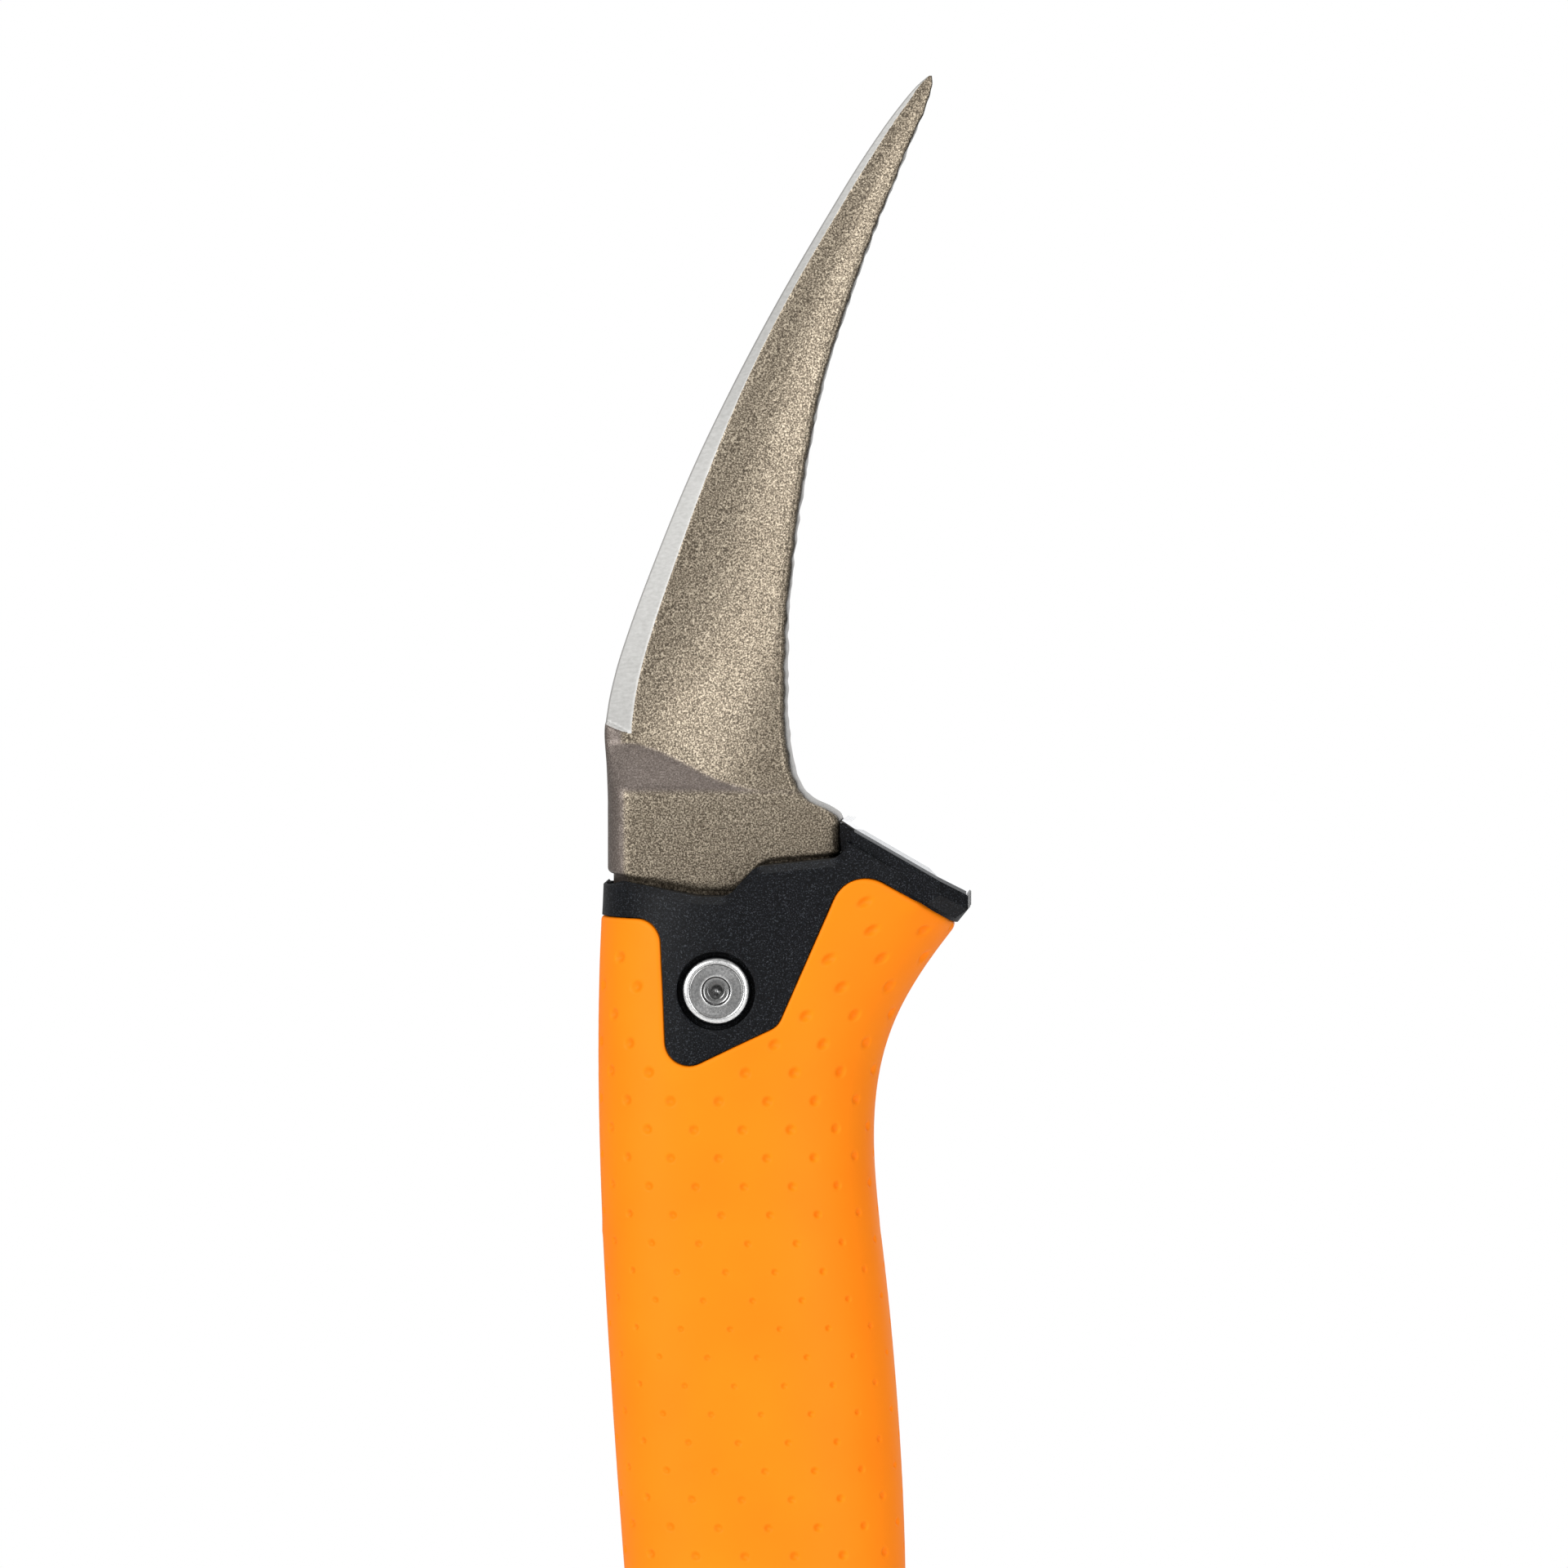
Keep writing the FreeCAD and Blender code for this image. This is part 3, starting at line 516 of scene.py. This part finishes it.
def make_blade(material):
    """The whole forged head with its ground bevel, as one closed mesh."""
    shares = head_columns()
    rows = [head_row(*row) for row in root_rows(shares) + blade_rows(shares)]
    points = np.concatenate([row_points for row_points, _ in rows])
    layers = {name: np.concatenate([values[name] for _, values in rows]) for name in rows[0][1]}
    roughen(points, layers["ground"])
    columns = 2 * len(shares)
    faces = loop_faces(len(rows), columns).tolist()
    for first in (0, (len(rows) - 1) * columns):
        for c in range(len(shares) - 1):
            cap = [first + c, first + c + 1, first + columns - 2 - c, first + columns - 1 - c]
            faces.append(cap[::-1] if first == 0 else cap)
    piece = new_object("forged_head", points * MM, faces, material)
    for name, values in layers.items():
        add_layer(piece, name, values)
    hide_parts("pick_blade")


# ---------------------------------------------------------------- dimpled grip

SEAM = (25.0, 0.22)  # height of the grip's lower edge at x = 0, and its rise along x
# The black apron's outline on each side, from the horn's back to the front: x, z and radius of its corners.
APRON = [(60.0, 228.16, 0.0), (16.8, 254.85, 5.3), (6.3, 230.85, 2.8), (-9.75, 223.25, 3.4),
         (-10.85, 246.45, 3.8), (-30.0, 246.55, 0.0)]
APRON_STEP = 0.3
HANDLE_Z = (14.0, 262.0)  # heights over which the handle's form is measured
HANDLE_MIDDLE = ((200.0, 264.0), (1.5, 13.0))  # two heights, and x of the section's middle there
TABLE_STEP = 0.6
TURNS = 480
RAY_START = 70.0
RECESS_CLEAR = 7.4  # radius round the bolt that isn't measured, on the parts of a section that face sideways
SIDEWAYS = 0.5
BLUR_ROUND, BLUR_UP = 2.5, 2.0  # in cells of the table
DIMPLES_ROUND = 16
ROW_STEP = 4.15
DIMPLE_AT = (-9.2, 219.8)  # one dimple's place, which sets the lattice
DIMPLE_RADIUS = (0.52, 1.0)
DIMPLE_WAVE = (238.0, 112.0)  # height of the largest dimples, and how far up they are again as large
DIMPLE_DEPTH = 0.62  # of its radius
DIMPLE_RINGS = [(0.3, 6), (0.6, 10), (0.85, 12), (1.05, 14), (1.35, 14)]  # share of the radius, and points
DIMPLE_CLEAR = (1.35, 0.35)  # no plain mesh points within this share of a dimple's radius and this much more
EDGE_CLEAR = 0.9  # no dimples nearer than this to the grip's edges
DIMPLE_FADE = (1.2, 1.9)  # distances from an edge between which dimples reach their depth
BASE_STEP = 1.3  # spacing of the plain mesh points, and of their rows as a share of it
BASE_ROW_SHARE = 0.87
SEAM_DROP = 10.0  # the lower edge is no further down than this from where the cut meets it
LIP = 0.6  # radius of the rounding of the grip's edges
LIP_RINGS = (0.1, 0.25, 0.45, 0.75)
LIP_STEP = 0.45
LIP_SKIRT = 1.4  # the edges turn inwards by this
LIP_GAP = 0.14  # the upper edge stays this far back from the apron's outline
LIP_CLEAR = 0.9  # share of the first line's distance that keeps lines from crossing at corners
RINGS_CLEAR = 0.35  # plain mesh points stay this far from the last line
CUT_CLEAR = 0.3  # no loose mesh points nearer than this to the cut
GRIP_PROUD = 0.1  # the grip's skin stands this far out of the measured form
NORMAL_STEP = 0.8
WAY_SAMPLES = 400
BLOCK = 4000  # points that are measured at once, to save memory
SLOPE_POINTS = (1, 4)  # points of the apron's outline that give its slope past the horn's back
SEAM_ROUNDS = 4  # the lower edge's height and place are worked out from each other this often
SAME_PLACE = 1e-5
ON_CUT = 1e-4


def blur(table, width, wrapped):
    """table smoothed along its second axis by a bell of that width in cells."""
    reach = int(3 * width)
    bell = np.exp(-0.5 * (np.arange(-reach, reach + 1) / width) ** 2)
    bell /= bell.sum()
    padded = np.pad(table, ((0, 0), (reach, reach)), mode="wrap" if wrapped else "edge")
    return sum(w * padded[:, i : i + table.shape[1]] for i, w in enumerate(bell))


def bridge(places, values, gaps):
    """Fills gaps in values with straight lines over the places."""
    values[gaps] = np.interp(places[gaps], places[~gaps], values[~gaps])


class Envelope:
    """The handle's outer form, measured on the CAD pieces and evened out.

    A point on it is given by its height z and by a, its way round the section from the back centre over the
    -Y side, scaled so that once round is the same everywhere.
    """

    def __init__(self):
        self.heights = np.arange(HANDLE_Z[0], HANDLE_Z[1], TABLE_STEP)
        turns = np.arange(TURNS) * 2 * math.pi / TURNS
        middles = np.interp(self.heights, *HANDLE_MIDDLE)[:, None]
        reach = self.measure(turns, middles)
        x = middles + reach * np.cos(turns)
        in_recess = np.hypot(x - BOLT_X, self.heights[:, None] - BOLT_Z) < RECESS_CLEAR
        for row, gaps in zip(reach, in_recess & (np.abs(np.sin(turns)) > SIDEWAYS)):
            bridge(turns, row, gaps)
        for column in reach.T:
            bridge(self.heights, column, np.isnan(column))
        reach = blur(blur(reach, BLUR_ROUND, True).T, BLUR_UP, False).T
        reach = (reach + np.roll(reach[:, ::-1], 1, axis=1)) / 2
        x = middles + reach * np.cos(turns)
        y = -reach * np.sin(turns)
        x, y = np.hstack([x, x[:, :1]]), np.hstack([y, y[:, :1]])
        way = np.hypot(np.diff(x, axis=1), np.diff(y, axis=1)).cumsum(axis=1)
        way = np.hstack([0 * way[:, :1], way])
        self.around = float(np.median(way[:, -1]))
        way = way / way[:, -1:] * self.around
        even = np.linspace(0, self.around, TURNS + 1)[:-1]
        self.x = np.array([np.interp(even, w, row) for w, row in zip(way, x)])
        self.y = np.array([np.interp(even, w, row) for w, row in zip(way, y)])

    def measure(self, turns, middles):
        """Distance from the section's middle out to the CAD pieces, by height and turn."""
        tree = cad_tree("grip_sleeve", "handle_core", "butt_cap")
        reach = np.full((len(self.heights), TURNS), np.nan)
        for j, z in enumerate(self.heights):
            middle = Vector((middles[j, 0] * MM, 0, z * MM))
            for i, turn in enumerate(turns):
                outward = Vector((math.cos(turn), -math.sin(turn), 0))
                hit = tree.ray_cast(middle + outward * RAY_START * MM, -outward, RAY_START * MM)
                if hit[0]:
                    reach[j, i] = (hit[0] - middle).length / MM
        return reach

    def at(self, a, z):
        """Points at (a, z)."""
        column = np.mod(a / self.around, 1.0) * TURNS
        row = np.clip((z - self.heights[0]) / TABLE_STEP, 0, len(self.heights) - 1.001)
        i, j = column.astype(int) % TURNS, row.astype(int)
        u, v = column - np.floor(column), row - j
        following = (i + 1) % TURNS

        def blend(table):
            low = table[j, i] * (1 - u) + table[j, following] * u
            high = table[j + 1, i] * (1 - u) + table[j + 1, following] * u
            return low * (1 - v) + high * v

        return np.stack([blend(self.x), blend(self.y), z], axis=1)

    def normals(self, a, z):
        """Outward unit normals at (a, z)."""
        along = self.at(a + NORMAL_STEP, z) - self.at(a - NORMAL_STEP, z)
        up = self.at(a, z + NORMAL_STEP) - self.at(a, z - NORMAL_STEP)
        normal = np.cross(up, along)
        return normal / np.linalg.norm(normal, axis=1)[:, None]

    def way_to(self, x, z):
        """a of the point at x, z on the -Y side."""
        half = np.linspace(0, self.around / 2, WAY_SAMPLES)
        places = self.at(half, np.full(WAY_SAMPLES, z))[:, 0]
        return float(np.interp(-x, -places, half))


class Lattice:
    """The staggered lattice of the grip's dimples, on the plane of a and z."""

    def __init__(self, envelope):
        self.around = envelope.around
        self.pitch = self.around / DIMPLES_ROUND
        self.phase = envelope.way_to(*DIMPLE_AT) % self.pitch
        self.cut = (self.phase + self.pitch / 4) % (self.pitch / 2)  # a of a line up between the dimples

    def radius(self, height):
        """Radius of the dimples at a height."""
        swing = np.cos(2 * math.pi * (height - DIMPLE_WAVE[0]) / DIMPLE_WAVE[1])
        return DIMPLE_RADIUS[0] + (DIMPLE_RADIUS[1] - DIMPLE_RADIUS[0]) * (0.5 + 0.5 * swing)

    def first(self, row):
        """a of a row's first dimple."""
        return self.phase + 0.5 * (row % 2) * self.pitch

    def centres(self):
        """All centres over the measured heights, as (a, z) from the cut on."""
        low, high = (int((z - DIMPLE_AT[1]) / ROW_STEP) for z in HANDLE_Z)
        centres = []
        for row in range(low, high):
            for column in range(DIMPLES_ROUND):
                a = self.first(row) + column * self.pitch
                centres.append((self.cut + (a - self.cut) % self.around, DIMPLE_AT[1] + row * ROW_STEP))
        return np.array(centres)

    def near(self, points):
        """Distance to the nearest centre and its radius, in the three rows about each point."""
        nearest = np.rint((points[:, 1] - DIMPLE_AT[1]) / ROW_STEP)
        for row in (nearest - 1, nearest, nearest + 1):
            height = DIMPLE_AT[1] + row * ROW_STEP
            aside = np.mod(points[:, 0] - self.first(row) + self.pitch / 2, self.pitch) - self.pitch / 2
            yield np.hypot(aside, points[:, 1] - height), self.radius(height)


def rounded_path(corners, step):
    """Points along an open outline whose corners (x, z, radius) are rounded."""
    path = [np.array(corners[0][:2])]
    for before, here, after in zip(corners, corners[1:], corners[2:]):
        at = np.array(here[:2])
        back = np.array(before[:2]) - at
        ahead = np.array(after[:2]) - at
        back, ahead = back / np.linalg.norm(back), ahead / np.linalg.norm(ahead)
        half = math.acos(float(back @ ahead)) / 2
        radius = here[2]
        bisector = (back + ahead) / np.linalg.norm(back + ahead)
        centre = at + bisector * radius / math.sin(half)
        start, stop = at + back * radius / math.tan(half), at + ahead * radius / math.tan(half)
        count = max(3, int(radius * (math.pi - 2 * half) / step))
        for share in np.linspace(0, 1, count + 1):
            spoke = (start - centre) * (1 - share) + (stop - centre) * share
            path.append(centre + spoke / np.linalg.norm(spoke) * radius)
    path.append(np.array(corners[-1][:2]))
    return np.array(path)


def even_path(path, step):
    """A polyline's points set again at an even step."""
    way = np.concatenate([[0], np.hypot(*np.diff(path, axis=0).T).cumsum()])
    count = max(2, int(way[-1] / step))
    even = np.linspace(0, way[-1], count + 1)
    return np.stack([np.interp(even, way, path[:, 0]), np.interp(even, way, path[:, 1])], axis=1)


def left_of(path):
    """Unit vectors to the left of a path at each of its points."""
    run = np.gradient(path, axis=0)
    return np.stack([-run[:, 1], run[:, 0]], axis=1) / np.hypot(*run.T)[:, None]


def distance_to(path, points):
    """Distance from each point to a polyline."""
    start, run = path[:-1], np.diff(path, axis=0)
    length = np.maximum((run**2).sum(axis=1), 1e-12)
    distances = []
    for first in range(0, len(points), BLOCK):
        block = points[first : first + BLOCK, None, :] - start[None]
        share = np.clip((block * run).sum(axis=2) / length, 0, 1)
        gap = block - share[..., None] * run
        distances.append(np.sqrt((gap**2).sum(axis=2).min(axis=1)))
    return np.concatenate(distances)


def edge_distance(edges, points):
    """Distance from each point to the nearest of the grip's edges."""
    return np.min([distance_to(edge, points) for edge in edges], axis=0)


def grip_edges(envelope, cut):
    """The grip's upper and lower edges as (a, z) paths, once round from the cut."""
    around = envelope.around
    half = []
    for x, z in even_path(rounded_path(APRON, APRON_STEP), APRON_STEP):
        back, front = envelope.at(np.array([0.0, around / 2]), np.array([z, z]))[:, 0]
        if front < x < back:
            half.append((envelope.way_to(x, z), z))
    half = np.array(half)
    near, far = half[list(SLOPE_POINTS)]
    slope = (near[1] - far[1]) / (near[0] - far[0])
    half = np.vstack([[0.0, half[0, 1] - half[0, 0] * slope], half, [around / 2, half[-1, 1]]])
    other = np.stack([around - half[::-1, 0], half[::-1, 1]], axis=1)
    whole = even_path(np.vstack([half, other[1:]]), LIP_STEP)
    begin = int(np.argmax(whole[:, 0] > cut))
    height = float(np.interp(cut, *whole[: begin + 1].T))
    past_back = whole[1:begin] + np.array([around, 0])
    upper = np.vstack([[cut, height], whole[begin:], past_back, [cut + around, height]])
    upper = upper - left_of(upper) * LIP_GAP
    upper[[0, -1], 0] = cut, cut + around

    ways = cut + np.linspace(0, around, int(around / LIP_STEP) + 1)
    heights = np.full(len(ways), SEAM[0])
    for _ in range(SEAM_ROUNDS):
        heights = SEAM[0] + SEAM[1] * envelope.at(ways, heights)[:, 0]
    return upper, np.stack([ways, heights], axis=1)


def grip_outline(edges, cut, around):
    """The grip's closed outline on the plane of a and z."""
    upper, lower = edges
    bottom, top = lower[0, 1], upper[0, 1]
    side = np.linspace(bottom, top, int((top - bottom) / BASE_STEP))[1:-1]
    left = np.stack([np.full(len(side), cut), side], axis=1)
    right = np.stack([np.full(len(side), cut + around), side[::-1]], axis=1)
    return np.vstack([left, upper, right, lower[::-1]])


def inside(polygon, points):
    """Which points are inside a closed polygon."""
    result = np.zeros(len(points), bool)
    x, z = points.T
    for (x0, z0), (x1, z1) in zip(polygon, np.roll(polygon, -1, axis=0)):
        crosses = (z0 > z) != (z1 > z)
        with np.errstate(divide="ignore", invalid="ignore"):
            result ^= crosses & (x < (x1 - x0) * (z - z0) / (z1 - z0) + x0)
    return result


def lip_points(edges):
    """Mesh points in lines beside the grip's edges."""
    lines = [path + left_of(path) * ring * way for path in edges for ring in LIP_RINGS for way in (-1, 1)]
    points = np.vstack(lines)
    return points[edge_distance(edges, points) > LIP_RINGS[0] * LIP_CLEAR]


def dimple_points(lattice, edges, outline):
    """Mesh points at the middle of each dimple and in rings round it."""
    centres = lattice.centres()
    radii = lattice.radius(centres[:, 1])
    kept = inside(outline, centres) & (edge_distance(edges, centres) > radii + EDGE_CLEAR)
    centres, radii = centres[kept], radii[kept]
    points = [centres]
    for share, count in DIMPLE_RINGS:
        for number in range(count):
            turn = 2 * math.pi * number / count
            points.append(centres + radii[:, None] * share * np.array([math.cos(turn), math.sin(turn)]))
    return np.vstack(points)


def base_points(lattice, edges):
    """Mesh points in an even pattern, clear of the dimples and of the grip's edges."""
    upper, lower = edges
    rows = np.arange(lower[0, 1] - SEAM_DROP, upper[:, 1].max() + 1, BASE_STEP * BASE_ROW_SHARE)
    columns = np.arange(0, lattice.around, BASE_STEP)
    points = np.array([(lattice.cut + c + 0.5 * BASE_STEP * (j % 2), z) for j, z in enumerate(rows)
                       for c in columns])
    clear = edge_distance(edges, points) > LIP_RINGS[-1] + RINGS_CLEAR
    for distance, radius in lattice.near(points):
        clear &= distance > radius * DIMPLE_CLEAR[0] + DIMPLE_CLEAR[1]
    return points[clear]


def flat_grip(lattice, edges):
    """The grip unrolled on the plane of a and z: its points and triangles."""
    low, high = lattice.cut, lattice.cut + lattice.around
    outline = grip_outline(edges, low, lattice.around)
    dimples = dimple_points(lattice, edges, outline)
    loose = np.vstack([lip_points(edges), dimples, base_points(lattice, edges)])
    loose = loose[inside(outline, loose)]
    loose = loose[(loose[:, 0] > low + CUT_CLEAR) & (loose[:, 0] < high - CUT_CLEAR)]
    count = len(outline)
    ring = [(i, (i + 1) % count) for i in range(count)]
    everything = [Vector(p) for p in np.vstack([outline, loose])]
    flat = geometry.delaunay_2d_cdt(everything, ring, [], 1, SAME_PLACE)
    return np.array([tuple(v) for v in flat[0]]), flat[2]


def join_cut(points, faces, lattice):
    """Faces that use the points on one side of the cut for those on the other side too."""
    first = np.flatnonzero(np.abs(points[:, 0] - lattice.cut) < ON_CUT)
    same = np.arange(len(points))
    for i in np.flatnonzero(np.abs(points[:, 0] - lattice.cut - lattice.around) < ON_CUT):
        same[i] = first[np.argmin(np.abs(points[first, 1] - points[i, 1]))]
    return [[int(same[i]) for i in face] for face in faces]


def sunk_depth(points, edges, lattice):
    """How far each point lies under the grip's skin, at its rounded edges and in its dimples."""
    edge = edge_distance(edges, points)
    lip = LIP - np.sqrt(np.maximum(LIP**2 - np.clip(LIP - edge, 0, LIP) ** 2, 0))
    dip = np.zeros(len(points))
    for distance, radius in lattice.near(points):
        share = np.clip(distance / radius, 0, 1)
        dip = np.maximum(dip, DIMPLE_DEPTH * radius * (1 - share**2) ** 1.5)
    return lip + dip * smooth_step(*DIMPLE_FADE, edge)


def add_skirt(place, normal, faces):
    """The vertices and faces with the open edges turned inwards, without unused vertices."""
    sides = dict.fromkeys((i, j) for face in faces for i, j in zip(face, face[1:] + face[:1]))
    skirt = {}
    vertices = list(place)
    for i, j in [side for side in sides if side[::-1] not in sides]:
        for corner in (i, j):
            if corner not in skirt:
                skirt[corner] = len(vertices)
                vertices.append(place[corner] - normal[corner] * LIP_SKIRT)
        faces.append([j, i, skirt[i], skirt[j]])
    used = sorted({i for face in faces for i in face})
    renumber = {old: new for new, old in enumerate(used)}
    return np.array([vertices[i] for i in used]), [[renumber[i] for i in face] for face in faces]


def make_grip(material):
    """The orange grip: an uneven mesh over the handle's form, fine at its dimples and lips."""
    envelope = Envelope()
    lattice = Lattice(envelope)
    edges = grip_edges(envelope, lattice.cut)
    points, faces = flat_grip(lattice, edges)
    normal = envelope.normals(*points.T)
    place = envelope.at(*points.T) + normal * (GRIP_PROUD - sunk_depth(points, edges, lattice))[:, None]
    vertices, faces = add_skirt(place, normal, join_cut(points, faces, lattice))
    piece = new_object("grip_skin", vertices * MM, faces, material)
    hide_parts("grip_sleeve")


# ---------------------------------------------------------------- turned bolt head

# Radius and depth below the head's face, from the pit in the middle to the rim and down the side.
HEAD_PROFILE = [(0.0, 1.35), (0.25, 1.22), (0.6, 0.98), (1.0, 0.62), (1.2, 0.50), (1.3, 0.47), (1.7, 0.45),
                (1.9, 0.38), (2.02, 0.24), (2.1, 0.06), (2.16, 0.0), (2.3, 0.0), (2.9, 0.035), (3.4, 0.02),
                (3.75, 0.0), (3.84, 0.02), (3.9, 0.09), (3.97, 0.10), (4.03, 0.02), (4.12, 0.0), (4.3, 0.03),
                (4.55, 0.12), (4.8, 0.27), (4.95, 0.43), (5.03, 0.60), (5.05, 0.80), (5.05, 2.3)]
# Tone of the head's steel by its share of the radius, with light and shade painted in: painted shade in the
# pit, at the pit's wall and in the groove inside the rim, painted highlights on the pit's lip and on the
# rim's chamfer, grey on the turned ring.
HEAD_TONES_AND_PAINTED_LIGHT = [(0.0, 0.30), (0.10, 0.20), (0.24, 0.16), (0.36, 0.34), (0.41, 0.16), (0.44, 0.95),
                (0.50, 0.52), (0.66, 0.62), (0.74, 0.50), (0.775, 0.14), (0.81, 0.97), (0.97, 0.90),
                (1.0, 0.40)]
HEAD_FACE_Y = -13.75
HEAD_TURNS = 128
SHANK_RADIUS = 3.5
RIM_RADII = (4.4, 5.04)  # between these the rim is a little uneven
RIM_UNEVEN = 0.03


def turned_material():
    """Steel turned about an axis along Y, its tone set by the vertex layer "radius" in metres, with painted
    shade in the pit and groove and painted highlights on the lip and rim.
    """
    n = Nodes("turned_steel")
    radius = n.math("DIVIDE", n.layer("radius"), HEAD_PROFILE[-1][0] * MM)
    speckle = n.noise(0.30 * MM, 3.0)
    worn = n.ramp(speckle, [(0.35, (0.72, 0.72, 0.72)), (0.65, (1.0, 1.0, 0.99))])
    dents = n.noise(0.8 * MM, 2.0)
    tangent = n.add("Tangent")
    tangent.direction_type = "RADIAL"
    tangent.axis = "Y"
    return n.finish(
        Base_Color=n.multiply(n.ramp(radius, HEAD_TONES_AND_PAINTED_LIGHT), worn),
        Metallic=1.0,
        Roughness=n.math("MULTIPLY_ADD", speckle, 0.14, 0.16),
        Anisotropic=0.8,
        Tangent=tangent.outputs["Tangent"],
        Normal=n.bump(dents, 0.035 * MM, 0.5),
    )


def make_bolt_head(material):
    """The barrel nut as it shows: a turned head with a dished pit, and its shank."""
    rings = [(radius, HEAD_FACE_Y + depth) for radius, depth in HEAD_PROFILE[1:]]
    rings += [(SHANK_RADIUS, rings[-1][1]), (SHANK_RADIUS, nut_high.y / MM)]
    turns = np.arange(HEAD_TURNS) * 2 * math.pi / HEAD_TURNS
    points = [(BOLT_X, HEAD_FACE_Y + HEAD_PROFILE[0][1], BOLT_Z)]
    for radius, y in rings:
        radii = radius + RIM_UNEVEN * np.sin(turns * 3 + radius) * (RIM_RADII[0] < radius < RIM_RADII[1])
        points += [(BOLT_X + r * math.cos(t), y, BOLT_Z + r * math.sin(t)) for t, r in zip(turns, radii)]
    points = np.array(points)
    faces = [[0, 1 + k, 1 + (k + 1) % HEAD_TURNS] for k in range(HEAD_TURNS)]
    faces += (loop_faces(len(rings), HEAD_TURNS)[:, ::-1] + 1).tolist()
    last = 1 + (len(rings) - 1) * HEAD_TURNS
    faces.append([last + k for k in range(HEAD_TURNS)][::-1])
    piece = new_object("bolt_head", points * MM, faces, material)
    add_layer(piece, "radius", np.hypot(points[:, 0] - BOLT_X, points[:, 2] - BOLT_Z) * MM)
    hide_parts("barrel_nut")


# ---------------------------------------------------------------- stage, lights, camera

FLOOR_RADIUS = 0.9
FLOOR_Z = -0.0001
SURROUND_LIGHT = 0.40
# Place, the point it is aimed at, width and height in metres, and power in watts.
LIGHTS = {
    "key": ((-0.95, -1.15, 0.75), (0, 0, 0.25), (0.7, 0.9), 16),
    "fill": ((0.85, -1.25, 0.45), (0, 0, 0.22), (0.5, 1.0), 9),
    "top": ((0.1, 0.1, 1.4), (0, 0, 0.25), (0.8, 0.8), 7),
    "back": ((0.4, 1.2, 0.6), (0, 0, 0.22), (0.9, 0.9), 4),
}
LENS, SENSOR = 200, 36
AIM = (0.0066, 0.0, 0.2656)
AZIMUTH, ELEVATION = 3.0, 2.0
SEEN_WIDTH = 0.2304


def make_floor():
    """A pale round floor, fading out at its rim."""
    n = Nodes("pale_floor")
    cloud = n.noise(0.05)
    distance = n.add("VectorMath", Vector=n.place)
    distance.operation = "LENGTH"
    fade = n.ramp(n.math("DIVIDE", distance.outputs["Value"], FLOOR_RADIUS), [(0.45, 1.0), (0.98, 0.0)])
    n.finish(Base_Color=n.mix(cloud, (0.80, 0.80, 0.80), (0.84, 0.84, 0.84)), Roughness=0.6, Alpha=fade)
    bpy.ops.mesh.primitive_circle_add(
        vertices=128, radius=FLOOR_RADIUS, fill_type="NGON", location=(0, 0, FLOOR_Z)
    )
    floor = bpy.context.object
    floor.name = "studio_floor"
    floor.data.materials.append(n.material)


def make_surround():
    """A white surround, brighter to the camera than its light on the tool."""
    world = bpy.data.worlds.new("white_surround")
    bpy.context.scene.world = world
    world.use_nodes = True
    tree = world.node_tree
    light = tree.nodes["Background"]
    light.inputs["Color"].default_value = (1.0, 1.0, 1.0, 1)
    light.inputs["Strength"].default_value = SURROUND_LIGHT
    seen = tree.nodes.new("ShaderNodeBackground")
    seen.inputs["Color"].default_value = (1.0, 1.0, 1.0, 1)
    path = tree.nodes.new("ShaderNodeLightPath")
    mix = tree.nodes.new("ShaderNodeMixShader")
    tree.links.new(path.outputs["Is Camera Ray"], mix.inputs[0])
    tree.links.new(light.outputs[0], mix.inputs[1])
    tree.links.new(seen.outputs[0], mix.inputs[2])
    tree.links.new(mix.outputs[0], tree.nodes["World Output"].inputs["Surface"])


def make_light(name, place, aim, size, power):
    """A soft rectangular area light aimed at a point."""
    data = bpy.data.lights.new(name, "AREA")
    data.shape = "RECTANGLE"
    data.size, data.size_y = size
    data.energy = power
    lamp = bpy.data.objects.new(name, data)
    lamp.location = place
    lamp.rotation_euler = (Vector(aim) - Vector(place)).to_track_quat("-Z", "Y").to_euler()
    bpy.context.scene.collection.objects.link(lamp)


def make_camera():
    """A long lens a little above the horizon and a little towards the spine's side."""
    data = bpy.data.cameras.new("camera")
    data.lens = LENS
    data.sensor_width = SENSOR
    camera = bpy.data.objects.new("camera", data)
    azimuth, elevation = math.radians(AZIMUTH), math.radians(ELEVATION)
    level = math.cos(elevation)
    away = Vector((math.sin(azimuth) * level, -math.cos(azimuth) * level, math.sin(elevation)))
    camera.location = Vector(AIM) + away * (SEEN_WIDTH * LENS / SENSOR)
    camera.rotation_euler = (-away).to_track_quat("-Z", "Y").to_euler()
    bpy.context.scene.collection.objects.link(camera)
    bpy.context.scene.camera = camera


make_floor()
make_surround()
make_camera()
for light_name, settings in LIGHTS.items():
    make_light(light_name, *settings)
bpy.context.scene.view_settings.view_transform = "Standard"

make_blade(forged_material())
make_grip(rubber_material())
make_bolt_head(turned_material())

black = core_material()
brushed = brushed_material()
brass = plain_material("brass", (0.62, 0.42, 0.13), (0.80, 0.58, 0.22), 0.28, 1.0)
sleeve = plain_material("sleeve_elastomer", (0.010, 0.010, 0.011), (0.030, 0.030, 0.032), 0.55)
finishes = {
    black: ("handle_core", "butt_cap"),
    brushed: ("cross_bolt", "strike_plate", "strike_pin", "lock_washer", "lanyard_eyelet", "butt_screw"),
    brass: ("butt_insert",),
    sleeve: ("tang_sleeve",),
}
for finish, nodes in finishes.items():
    for node in nodes:
        CAD[node].data.materials[0] = finish
